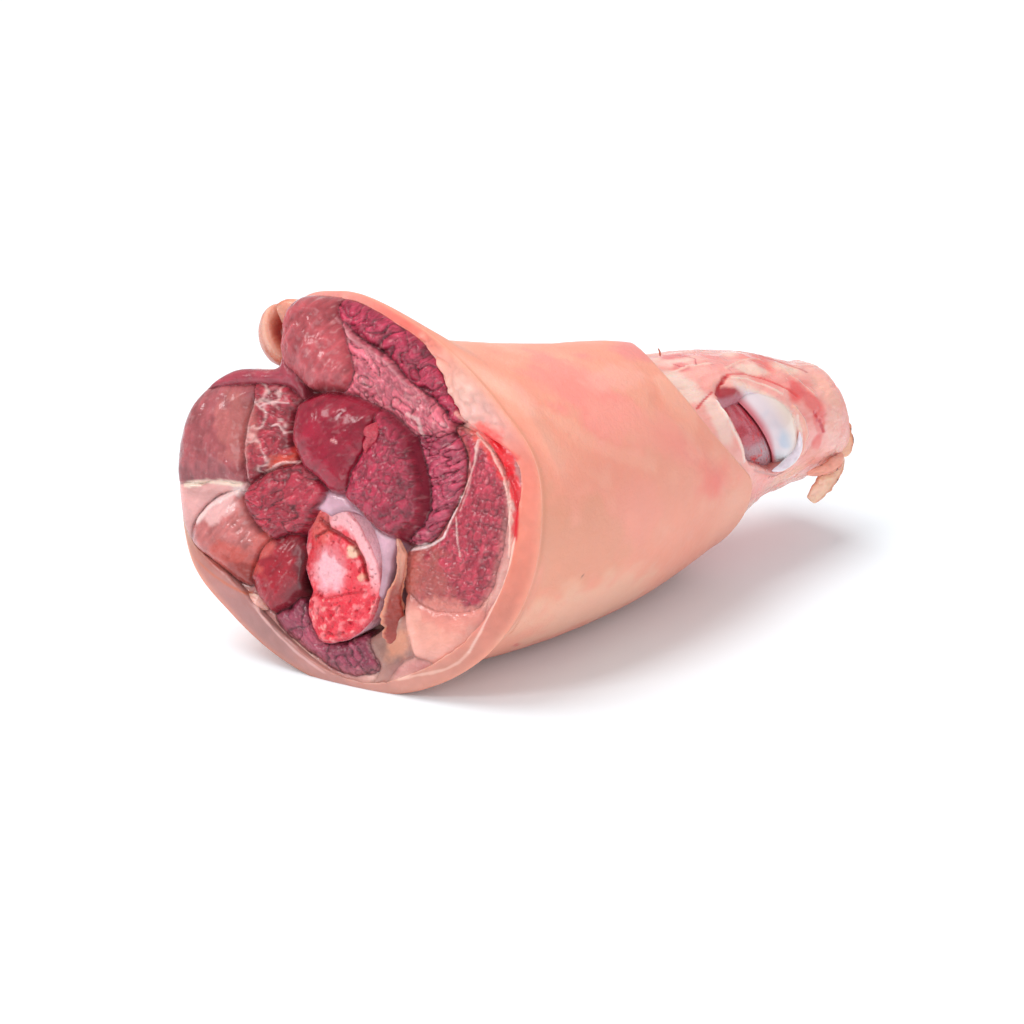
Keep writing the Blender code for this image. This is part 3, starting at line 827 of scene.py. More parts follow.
CARTILAGE_CRESCENT = Muscle(
    ((-10.6, 0.1), (-4.9, 0.1), (-0.1, -3.2), (4.8, -6.8), (10.8, -9.5), (15.8, -9.9), (15.5, -14.6),
     (15.1, -20.6), (14.7, -26.7), (13.6, -30), (9.4, -27.9), (7.4, -22), (4.3, -16.2), (0, -11.3),
     (-4.9, -9.7), (-10.2, -7.5), (-14.6, -5.6)),
    2.0, 1.6, 3.0, (216, 169, 185), Cutting.FAT, 0, 0.2, specks=0.0, edge=0.1, seam=0.4,
)
CREAM_SHEET = Muscle(
    ((9.2, -44.5), (12.8, -41), (16.1, -36.8), (19.4, -33.8), (24.2, -38.8), (26.5, -45.4), (23.1, -48.2),
     (20.9, -51.5), (19.2, -55.9), (15, -58.3), (8.8, -59.5), (12.9, -56.1), (14.6, -51.7), (12, -48.7)),
    -1.5, 2.2, 4.0, (162, 118, 108), Cutting.FAT, 40, 0.6, specks=0.1, edge=0.1, seam=0.15,
)
MUSCLES = (
    FAR_MEMBRANE, TOP_STRIP, MARBLED, SINEW_STRIP, SALMON, TORN_HEART, BROWN_OVAL, UNDER_BONE, FRONT_BULB,
    FRONT_LOBE, TOP_BULB, DARK_CRESCENT, PALE_CORDS, DARK_CORDS, NEAR_MUSCLE, PALE_FAT,
    CARTILAGE_CRESCENT, CREAM_SHEET,
)

FACE_STRANDS = (
    Strand(((37.1, 23.1), (37.1, 16.6), (35.8, 10.5), (34, 4.9)), 1.0, (238, 190, 184), 0.9, 0.3),
    Strand(((34, 4.9), (32.9, 1), (31.5, -3.2), (30.6, -8), (27.6, -10.4), (23.7, -12.3)), 0.9, WHITE_SINEW),
    Strand(((27.6, -10.4), (23.7, -12.3), (19.1, -13.7)), 1.5, WHITE_SINEW, 0.9, 0.5),
    Strand(((33.6, -1.3), (34.6, -5.2), (36, -9.6), (37.3, -12.8)), 0.5, (232, 190, 186), 0.7),
    Strand(
        ((-16, 53), (-9.8, 47.6), (-4, 45.2), (1.8, 43), (6, 40.2), (10.7, 36.6)),
        0.55, (222, 160, 164), 0.55,
    ),
    Strand(((-40.5, 24), (-41.5, 14), (-41.2, 6), (-38.6, -1)), 0.7, (226, 178, 178), 0.5),
    Strand(((-38, 22), (-34, 24), (-28, 24.5)), 0.6, (232, 190, 190), 0.7),
    Strand(((-33, 16.5), (-30.5, 17.5), (-28, 15), (-25, 16.5)), 0.6, (236, 196, 194), 0.7),
    Strand(((-33, 2.2), (-28, 5.4), (-22, 6.8)), 0.9, (240, 190, 184), 0.8, 0.4),
    Strand(((-62, -7), (-54, -4.6), (-42, -3.4)), 1.7, (240, 214, 196), 0.85),
    Strand(((-55.5, -17), (-51, -11), (-45, -7), (-40.5, -5)), 2.2, (236, 206, 204), 0.8),
    Strand(((-8, 15.8), (-6, 15.2)), 0.7, (222, 150, 150), 0.8),
    Strand(((14, 27.2), (17.9, 26.2), (19, 22)), 1.3, (226, 180, 178), 0.7, 0.3),
    Strand(((40, 25), (45, 20.4), (49.4, 14.6)), 2.4, (230, 30, 44), 0.8, 1.0),
    Strand(((48.4, 16), (52.2, 10), (54.8, 3), (55.6, -4)), 1.8, (206, 16, 34), 0.9, 0.8),
    Strand(
        ((36, 25), (41.6, 20.6), (46.4, 14.4), (50, 7.6), (52.4, -2), (53.6, -10)),
        0.9, (244, 196, 184), 0.85, 0.5,
    ),
    Strand(
        ((55.5, -4), (55, -12), (53, -20), (51, -27), (48.6, -34), (45.4, -41)),
        0.9, (246, 212, 200), 0.6, 0.3,
    ),
    Strand(
        ((45.4, -41), (42.2, -45), (38, -48), (33, -50), (28, -51.8), (22, -54)),
        1.0, (246, 206, 190), 0.45, 0.3,
    ),
    Strand(((-56, -29.8), (-48, -33.4), (-40, -36), (-33, -37.4)), 0.8, (198, 110, 84), 0.8, 0.4),
    Strand(((-33, -37.4), (-29, -42), (-23, -47), (-14, -52.5), (-4, -57)), 0.9, (226, 180, 176), 0.6, 0.4),
    Strand(((35, 16), (36.5, 11), (36, 6), (34.5, 1)), 1.0, (226, 164, 164), 0.6, 0.3),
    Strand(((29, 30), (33.5, 27), (37, 26.4)), 1.4, (232, 160, 150), 0.8, 0.5),
    Strand(
        ((-10, 47.5), (-4, 44.6), (2.5, 42.4), (7, 39.4), (12.5, 35.4), (18, 33)),
        1.2, (196, 118, 128), 0.6, 0.4,
    ),
    Strand(((-23.6, 10), (-25, 16), (-24.4, 22), (-21.6, 26.6)), 0.5, (206, 120, 122), 0.5, 0.2),
)
FACE_PATCHES = (
    Patch(-49, -13, 8, 4, 40, (236, 186, 184), 0.7, 0.6),
    Patch(-40, -27, 12, 5, -12, (196, 84, 74), 0.7, 0.5),
    Patch(26, -20, 7, 9, 0, (184, 96, 84), 0.5, 0.7),
    Patch(-28, 6.5, 7, 2.2, 25, (206, 72, 56), 0.85, 0.6),
    Patch(-23, 10.5, 3, 2, 0, (202, 66, 60), 0.7, 0.6),
    Patch(-36.5, -30.5, 7, 3.4, -20, (146, 56, 52), 0.85, 0.4),
    Patch(-14, -24, 4, 10, 18, (104, 36, 46), 0.75, 0.5),
    Patch(-16, -33.5, 5, 3, 20, (116, 44, 50), 0.7, 0.5),
    Patch(39.5, 24.6, 6, 4.2, -20, (238, 100, 94), 0.9, 0.8),
    Patch(46, 18.6, 7, 4.6, -50, (232, 52, 60), 0.95, 0.8),
    Patch(51.4, 10, 7, 3.4, -65, (228, 50, 60), 0.9, 0.8),
    Patch(54.4, 0, 7, 2.0, -82, (214, 50, 60), 0.85, 0.7),
    Patch(33, -29.5, 18, 7, -5, (184, 98, 92), 0.75, 0.5, 0.1),
    Patch(29, -21, 12, 8, 20, (172, 84, 82), 0.6, 0.5, 0.1),
    # Painted shadow in the dark gap to the right of the tendon flap.
    Patch(20.6, -24, 2.8, 8.5, 6, (100, 34, 30), 0.85, 0.4, 0.2),
    Patch(35, -37, 15, 5, 0, (222, 148, 132), 0.5, 0.5, 0.1),
    Patch(21, -21, 4.5, 9, 0, (206, 110, 96), 0.55, 0.6),
    Patch(36, -31, 14, 5, 0, (226, 140, 128), 0.6, 0.6),
    Patch(20, -44, 4, 6, -20, (224, 150, 122), 0.7, 0.4),
    Patch(5.6, 20.5, 2.2, 3.4, -10, (186, 66, 76), 0.9, 0.3),
    Patch(-45, 14, 9, 12, 0, (206, 120, 112), 0.45, 0.5),
    Patch(-30, -21, 5, 5, 0, (216, 104, 96), 0.6, 0.5),
)


@dataclass
class CutFace:
    """The cut end: muscles as pillows that lap over each other, sinews, fat and blood."""

    columns: int = 300
    rows: int = 300
    floor: float = -7.0
    drop_start: tuple = (
        (0, 0.86), (45, 0.84), (90, 0.9), (180, 0.9), (200, 0.8), (235, 0.6), (262, 0.6), (290, 0.8),
    )
    crease: float = 0.6
    warp: float = 0.8
    warp_size: float = 6.0
    # Dark colour painted into the seams between muscles as crease shade.
    seam_shade_colour: tuple = (74, 18, 28)
    back: float = 12.0
    narrowing: float = 0.6
    bone_middle: tuple = (-1.2, -25.4)
    bone_half: tuple = (14.0, 20.5)
    bone_depth: float = -4.0
    grain: Grain = Grain(3)

    def disc(self, u: Numbers, v: Numbers) -> tuple[Numbers, Numbers]:
        """Map a square to the inside of the rim: angle in degrees and share of the radius."""
        a = 2 * u - 1
        b = 2 * v - 1
        wide = np.abs(a) >= np.abs(b)
        radius = np.where(wide, a, b)
        other = np.where(wide, b, a)
        ratio = other / np.where(np.abs(radius) < 1e-9, 1e-9, radius)
        angle = np.where(wide, 45 * ratio, 90 - 45 * ratio)
        return np.where(radius < 0, angle + 180, angle) % 360, np.abs(radius)

    def form(self, u: Numbers, v: Numbers) -> tuple[Numbers, dict[str, Numbers]]:
        """Place and colour the front of the cut.

        Each place belongs to the highest muscle there. Seams between muscles get a painted dark line of
        shade;
        near a seam without one, it takes a share of the looks of the second highest.

        Args:
            u: Share across the grid.
            v: Share along the grid.

        Returns:
            Points in millimetres, and the mesh values by name.
        """
        angle, reach = self.disc(u, v)
        turn = np.radians(angle)
        edge_radius = around(BODY.rim_radius, angle) - around(BODY.rim_width, angle) + 0.6
        across = reach * edge_radius * np.cos(turn)
        up = reach * edge_radius * np.sin(turn)
        flat = planar(across, up)
        warped_across = across + self.warp * self.grain.rough(flat, self.warp_size, 3)
        warped_up = up + self.warp * self.grain.rough(flat + 50, self.warp_size, 3)

        rim = around(BODY.rim_rise, angle)
        start = around(self.drop_start, angle)
        base = rim + self.floor * (1 - ease(0, 1, (reach - start + 0.12) / (1.1 - start)))
        base = base + 0.5 * self.grain.rough(flat, 5.0, 3)
        rise = base
        top = base
        second = base - 5
        owner = np.full(across.shape, -1)
        other = owner
        inner = 2.0 + 0 * base
        other_inner = inner
        for index, muscle in enumerate(MUSCLES):
            height, depth = muscle.height(warped_across, warped_up)
            mix = np.clip(0.5 + 0.5 * (height - rise) / self.crease, 0, 1)
            rise = rise * (1 - mix) + height * mix
            higher = height > top
            between = ~higher & (height > second)
            second = np.where(higher, top, np.where(between, height, second))
            other = np.where(higher, owner, np.where(between, index, other))
            other_inner = np.where(higher, inner, np.where(between, depth, other_inner))
            owner = np.where(higher, index, owner)
            inner = np.where(higher, depth, inner)
            top = np.where(higher, height, top)
        lead = top - second

        tint, relief, crack_shade, weave, coarse = self.dress(owner, inner, across, up)
        under, under_relief, _, _, _ = self.dress(other, other_inner, across, up)
        seams = np.array([muscle.seam for muscle in MUSCLES] + [0.5])
        seam = np.minimum(seams[owner], seams[other])
        mixed = 0.5 * (1 - ease(0.0, 2.6, lead)) * (1 - seam)
        tint = tint * (1 - mixed)[..., None] + under * mixed[..., None]
        relief = relief * (1 - mixed) + under_relief * mixed
        # Painted shade: seams are darkened, unevenly along their length, where one muscle barely rises over
        # the next.
        crease_shade = np.exp(-np.maximum(lead, 0) / 0.55) * seam
        # Painted shade: cracks and pits are darkened where the relief dips.
        tint = tint * (1 - 0.7 * np.clip(crack_shade, 0, 1))[..., None]
        broken = ease(-0.5, 0.5, self.grain.rough(flat + 33, 9.0, 3))
        tint = blend(tint, self.seam_shade_colour, crease_shade * (0.25 + 0.6 * broken))
        rise = rise - (0.2 + 0.7 * broken) * crease_shade + relief

        wobble = self.grain.rough(flat, 2.6, 3)
        tint, rise = paint_face(tint, rise, across, up, wobble)
        bone = np.hypot(
            (across - self.bone_middle[0]) / self.bone_half[0], (up - self.bone_middle[1]) / self.bone_half[1]
        )
        pit = 1 - ease(0.88, 1.0, bone)
        shadow = (1 - ease(0.98, 1.10, bone)) * ease(-40, 30, -across)
        rise = rise * (1 - pit) + self.bone_depth * pit
        tint = tint * (1 - 0.5 * shadow)[..., None]
        edge = 1 - np.sqrt(1 - np.clip((reach - 0.92) / 0.08, 0, 1) ** 2)
        rise = rise * (1 - edge) + rim * edge
        points = BODY.on_cut(across, up, rise)
        return points, {"tint": tint, "wet": 0.2 + 0.8 * ease(-0.3, 0.6, wobble), "weave": weave,
                        "coarse": coarse}

    def dress(
        self, owner: Numbers, inner: Numbers, across: Numbers, up: Numbers
    ) -> tuple[Numbers, Numbers, Numbers, Numbers, Numbers]:
        """Colour, relief, painted crack shade, fibre coordinates and coarseness where each muscle shows.

        Args:
            owner: Number of the muscle at each place, or -1 for the flesh between them.
            inner: Distance inside that muscle's outline.
            across: First coordinate on the cut.
            up: Second coordinate on the cut.

        Returns:
            Linear colours, relief in millimetres, painted crack shade from 0 to 1, fibre coordinates,
            coarseness.
        """
        flat = planar(across, up)
        tint = all_over(BAND_FLESH, across)
        tint = blend(tint, (232, 186, 170), ease(-0.2, 0.6, self.grain.rough(flat, 12.0, 3)))
        tint = blend(tint, (190, 118, 118), ease(0.0, 0.7, self.grain.rough(flat + 90, 10.0, 3)))
        relief = 0 * across
        crack_shade = 0 * across
        weave = planar(across, up)
        coarse = 0.3 + 0 * across
        ridge = 1 - np.abs(self.grain.rough(flat, 6.5, 3)) * 4.0
        broad = self.grain.rough(flat, 12.0, 3)
        for index, muscle in enumerate(MUSCLES):
            mine = owner == index
            raised, tone, split = muscle.surface(across[mine], up[mine], self.grain)
            on_top = 1 - ease(0.0, 0.7, -inner[mine])
            relief[mine] = raised * on_top
            crack_shade[mine] = split * on_top
            run, over = muscle.along(across[mine], up[mine])
            weave[mine, 0] = run
            weave[mine, 1] = over
            coarse[mine] = muscle.cutting.coarseness() * on_top
            # Painted shade: a muscle's colour falls to 0.6 of itself on its flank outside its outline, on top
            # of its random tone.
            level = (0.6 + 0.4 * on_top) * np.clip(1 + 0.55 * tone * on_top + 0.25 * broad[mine], 0.15, 3)
            shade = blend(
                linear(muscle.colour) * level[..., None], muscle.edge_colour,
                muscle.edge * (1 - ease(0.0, 2.6, inner[mine])),
            )
            shade = blend(shade, (236, 192, 188), muscle.marbling * ease(0.55, 1.0, ridge[mine]))
            streaks = self.grain.rough(planar(run / 1.8, over), 1.0, 2)
            shade = blend(shade, (244, 200, 198), 0.45 * muscle.specks * ease(0.42, 0.66, streaks))
            tint[mine] = shade
        return tint, relief, crack_shade, weave, coarse

    def close(self, bm: bmesh.types.BMesh) -> None:
        """Draw the border back behind the face and fill it."""
        border = [edge for edge in bm.edges if edge.is_boundary]
        made = bmesh.ops.extrude_edge_only(bm, edges=border)["geom"]
        drawn = [item for item in made if isinstance(item, bmesh.types.BMVert)]
        out = plane_axes(BODY.cut_yaw, BODY.cut_pitch)[2]
        middle = Vector(in_place(BODY.on_cut(0.0, 0.0, -self.back)))
        for vertex in drawn:
            vertex.co = middle + (vertex.co - middle - Vector(self.back * MM * out)) * self.narrowing
        ring = [item for item in made if isinstance(item, bmesh.types.BMEdge)]
        bmesh.ops.holes_fill(bm, edges=[edge for edge in ring if edge.is_boundary], sides=0)

    def build(self, maker: Maker) -> bpy.types.Object:
        """Make the meat of the cut face."""
        return maker.piece(
            "cut_face", self.columns, self.rows, self.form, MEAT_FINISH, Slot.MEAT, close=self.close,
        )


def paint_face(
    tint: Numbers, rise: Numbers, across: Numbers, up: Numbers, wobble: Numbers
) -> tuple[Numbers, Numbers]:
    """Lay the patches of fat and blood, then the sinews, on colours and heights."""
    for patch in FACE_PATCHES:
        tint = blend(tint, patch.colour, patch.share(across, up, wobble))
    for strand in FACE_STRANDS:
        share = strand.share(across, up, wobble)
        tint = blend(tint, strand.colour, strand.strength * share * (1 + 0.2 * wobble))
        rise = rise + strand.rise * share * (1 + wobble)
    return tint, rise


@dataclass
class Rind:
    """The rind's sleeve with its rolled lip, its cut narrow edge and its hidden inside."""

    columns: int = 400
    rows: int = 220
    tuck: float = 0.04
    lip_end: float = 0.24
    skin_end: float = 0.86
    turn_end: float = 0.90
    thickness: float = 4.0
    crowding: float = 1.25
    tuck_reach: float = 0.06
    back_reach: float = 0.94
    edge_roll: float = 0.9
    mm_per_degree: float = 0.85
    lumpy_sides: tuple = (24, 40, 72, 88)
    skin_colour: tuple = (243, 160, 137)
    cut_colour: tuple = (236, 170, 146)
    grain: Grain = Grain(11)
    # Lip colours round the rim; the darker mauve at the lower left, from about 206 to 262 degrees, is partly
    # painted shade.
    lip_colours: tuple = (
        (0, (228, 133, 113)), (20, (228, 133, 117)), (38, (224, 167, 159)), (56, (229, 169, 155)),
        (70, (235, 145, 130)), (84, (232, 116, 105)), (100, (231, 139, 128)), (112, (231, 152, 143)),
        (135, (214, 150, 138)), (165, (214, 158, 142)), (190, (222, 176, 146)), (206, (189, 123, 110)),
        (222, (180, 123, 118)), (240, (165, 118, 114)), (262, (187, 130, 123)), (290, (205, 143, 129)),
        (330, (209, 129, 112)),
    )
    patches: tuple = (
        Patch(18, 58, 20, 26, 0, (252, 148, 140), 0.75, 0.7),
        Patch(60, 80, 12, 14, 0, (240, 140, 140), 0.7, 0.6),
        Patch(34, 36, 24, 14, -25, (252, 164, 148), 0.6, 0.7),
        Patch(64, 6, 15, 14, -40, (246, 122, 112), 0.8, 0.4, 0.1),
        Patch(48, 26, 20, 9, -40, (252, 148, 136), 0.5, 0.3, 0.0),
        Patch(20, 5, 14, 14, 0, (250, 160, 144), 0.45, 0.7),
        Patch(-9, 34, 5, 18, 0, (232, 184, 162), 0.35, 0.5, 0.1),
        Patch(-6, -4, 22, 22, 0, (226, 160, 130), 0.5, 0.7),
        Patch(4, -34, 40, 16, 0, (244, 196, 170), 0.6, 0.7),
        Patch(-13, 56, 9, 14, 0, (252, 206, 188), 0.35, 0.5, 0.1),
        Patch(34, 62, 16, 10, 0, (254, 184, 168), 0.5, 0.7),
        Patch(30, 140, 30, 30, 0, (250, 164, 148), 0.5, 0.7),
        Patch(20, -150, 40, 30, 0, (246, 172, 154), 0.5, 0.7),
        Patch(56, 44, 8, 20, 0, (254, 186, 162), 0.5, 0.7),
    )
    marks: tuple = (
        Strand(((-29, -20), (-27.5, -24), (-28, -29)), 0.6, (206, 110, 90), 0.6, 0.0),
        Strand(((-21, -38), (-19, -40)), 1.4, (206, 84, 84), 0.8, 0.0),
        Strand(((-5.6, -12), (-5.2, -13)), 0.7, (130, 80, 70), 0.8, 0.0),
        Strand(((-3, 40), (6, 30), (16, 24), (30, 18)), 6.0, (254, 190, 168), 0.25, -0.3),
        Strand(((46, 40), (56, 26), (66, 10), (72, 0)), 6.0, (246, 150, 128), 0.25, -0.4),
        Strand(((12, 100), (30, 112), (50, 108)), 6.0, (246, 170, 154), 0.2, -0.3),
    )

    def bare(self, u: Numbers, v: Numbers) -> Numbers:
        """The rind's form before its small relief."""
        angle = (u * 360) % 360
        lip_t = np.clip((v - self.tuck) / (self.lip_end - self.tuck), 0, 1)
        skin_t = np.clip((v - self.lip_end) / (self.skin_end - self.lip_end), 0, 1) ** self.crowding
        lip = BODY.lip(angle, lip_t)
        skin = BODY.skin(angle, skin_t)
        points = np.where((v > self.lip_end)[..., None], skin, lip)
        first = np.clip(v / self.tuck, 0, 1)
        start = BODY.lip(angle, 0 * angle)
        tucked = self.inner(angle, self.tuck_reach + 0 * angle)
        points = np.where((v < self.tuck)[..., None], tucked + (start - tucked) * first[..., None], points)
        under = np.pi * np.clip((v - self.skin_end) / (self.turn_end - self.skin_end), 0, 1)
        edge = BODY.skin(angle, np.ones_like(angle))
        below = self.inner(angle, np.ones_like(angle))
        rolled = edge + (below - edge) * (0.5 - 0.5 * np.cos(under))[..., None]
        rolled[..., 0] += self.edge_roll * np.sin(under)
        points = np.where((v > self.skin_end)[..., None], rolled, points)
        back = 1 - self.back_reach * np.clip((v - self.turn_end) / (1 - self.turn_end), 0, 1)
        return np.where((v > self.turn_end)[..., None], self.inner(angle, back), points)

    def inner(self, angle: Numbers, t: Numbers) -> Numbers:
        """The inside of the sleeve."""
        skin = BODY.skin(angle, t)
        spoke = skin - BODY.axis(BODY.sleeve, skin[..., 0])
        return skin - spoke * (self.thickness / np.linalg.norm(spoke, axis=-1))[..., None]

    def form(self, u: Numbers, v: Numbers) -> tuple[Numbers, dict[str, Numbers]]:
        """Place and colour the rind: inner tuck, lip, sleeve, narrow edge, and back inside.

        Args:
            u: Share of the way round.
            v: Share of the way along, from the tuck to the hidden end of the inside.

        Returns:
            Points in millimetres, and the mesh values by name.
        """
        points = self.bare(u, v)
        step = 0.0015
        normal = unit(np.cross(self.bare(u + step, v) - points, self.bare(u, v + step) - points))
        middle = BODY.axis(BODY.sleeve, points[..., 0])
        facing = np.sign(np.sum(normal * (points - middle), -1))
        outer = (v > self.lip_end) & (v < self.skin_end)
        flip = np.median(facing[outer])
        normal = normal * flip

        angle = (u * 360) % 360
        side = signed(angle)
        lip_t = np.clip((v - self.tuck) / (self.lip_end - self.tuck), 0, 1)
        on_lip = ease(0.0, 0.02, v - self.tuck) * (1 - ease(self.lip_end - 0.01, self.lip_end + 0.03, v))
        dents = self.grain.rough(points, 30.0, 2)
        fine = self.grain.rough(points, 4.0, 3)
        slope = 0.6 * points[..., 0] + 0.8 * points[..., 2]
        drawn_out = np.stack([slope / 2.6, points[..., 1] / 18, points[..., 0] / 18], -1)
        wrinkle = self.grain.rough(drawn_out, 1.0, 2)
        bumps = np.abs(self.grain.rough(points, 3.6, 2))
        fat = bell(0.3, 0.36, lip_t) * on_lip
        lumpy = fat * span(self.lumpy_sides, side)
        body = outer * ease(0.0, 0.05, v - self.lip_end)
        near = np.clip(np.cos(np.radians(angle)), 0, 1) ** 4
        lift = -0.3 - 0.35 * near + 0.5 * dents * body * (1 - 0.6 * near) + 0.05 * fine + 0.1 * wrinkle * body
        ragged = bell(0.06, 0.09, lip_t) * on_lip
        lift = lift + lumpy * (1.6 * bumps - 0.2) + 0.2 * fat * fine
        lift = lift + 0.9 * ragged * self.grain.rough(points + 60, 3.0, 3)
        tint = self.colours(points, side, lip_t, v, bumps, fine)
        for mark in self.marks:
            share = mark.share(points[..., 0], side * self.mm_per_degree, fine) * body
            tint = blend(tint, mark.colour, mark.strength * share)
            lift = lift + mark.rise * share
        inside = (v > self.turn_end - 0.02) | (v < self.tuck)
        points = points + normal * np.where(inside, 0, lift)[..., None]
        return points, {"tint": tint, "wet": 0.1 + 0.5 * fat}

    def colours(
        self, points: Numbers, side: Numbers, lip_t: Numbers, v: Numbers, bumps: Numbers, fine: Numbers
    ) -> Numbers:
        """Peach skin with pinker blotches and painted shade below, pale fat on the lip, painted shade and
        highlight along the lip's outer edge, and a cream cut edge.

        Args:
            points: Places in millimetres.
            side: Angle round the knuckle, from -180 to 180.
            lip_t: Share of the way over the lip.
            v: Share of the way along.
            bumps: Noise of the lumps of fat.
            fine: Fine noise.

        Returns:
            Linear colours.
        """
        broad = self.grain.rough(points, 34.0, 3)
        small = self.grain.rough(points, 8.0, 3)
        tint = all_over(self.skin_colour, side)
        tint = blend(tint, (244, 152, 134), 0.6 * ease(0.0, 0.8, broad))
        tint = blend(tint, (248, 196, 172), 0.6 * ease(0.0, 0.8, -broad))
        tint = blend(tint, (248, 184, 162), 0.3 * ease(0.0, 0.8, small))
        for patch in self.patches:
            tint = blend(tint, patch.colour, patch.share(points[..., 0], side, small))
        # Painted shade: the rind darkens towards its underside, to 0.62 of its colour straight below.
        tint = tint * (0.62 + 0.38 * ease(8, 72, np.abs(side + 90)))[..., None]
        rim = np.zeros_like(tint)
        for channel in range(3):
            stations = [(place, linear(colour)[channel]) for place, colour in self.lip_colours]
            rim[..., channel] = around(stations, side)
        grainy = 0.15 + 0.5 * span(self.lumpy_sides, side)
        rim = rim * (1 + grainy * (bumps - 0.25) + 0.10 * fine)[..., None]
        light = bell(0.10, 0.10, lip_t) * (1 - ease(60, 110, np.abs(side)))
        rim = blend(rim, (248, 208, 194), 0.5 * light * (0.6 + 0.8 * fine))
        share = (1 - ease(0.6, 1.0, lip_t))[..., None]
        tint = tint * (1 - share) + rim * share
        # Painted shade in the groove behind the lip's outer edge, and a painted highlight on the crest just
        # before it, on the near side.
        crisp = np.clip(np.cos(np.radians(side)) * 1.6, 0, 1)
        painted_groove_shade = bell(self.lip_end + 0.014, 0.010, v) * crisp
        painted_crest_highlight = bell(self.lip_end - 0.004, 0.006, v) * crisp
        tint = blend(tint, (214, 142, 116), 0.5 * painted_groove_shade)
        tint = blend(tint, (254, 202, 180), 0.5 * painted_crest_highlight)
        cut = ease(self.skin_end - 0.01, self.skin_end + 0.01, v)
        tint = blend(tint, self.cut_colour, cut)
        offset = points - np.array(BODY.cut_centre)
        across_axis, up_axis, _ = plane_axes(BODY.cut_yaw, BODY.cut_pitch)
        across = offset @ across_axis
        up = offset @ up_axis
        painted, _ = paint_face(tint, 0 * side, across, up, fine)
        near_face = (1 - ease(0.5, 0.8, lip_t)) * (1 - ease(self.lip_end, self.lip_end + 0.01, v))
        return tint + (painted - tint) * near_face[..., None]

    def build(self, maker: Maker) -> bpy.types.Object:
        """Make the rind, which with the other flesh pieces stands for the flesh."""
        return maker.piece("rind", self.columns, self.rows, self.form, RIND_FINISH, Slot.MEAT, ("flesh",))


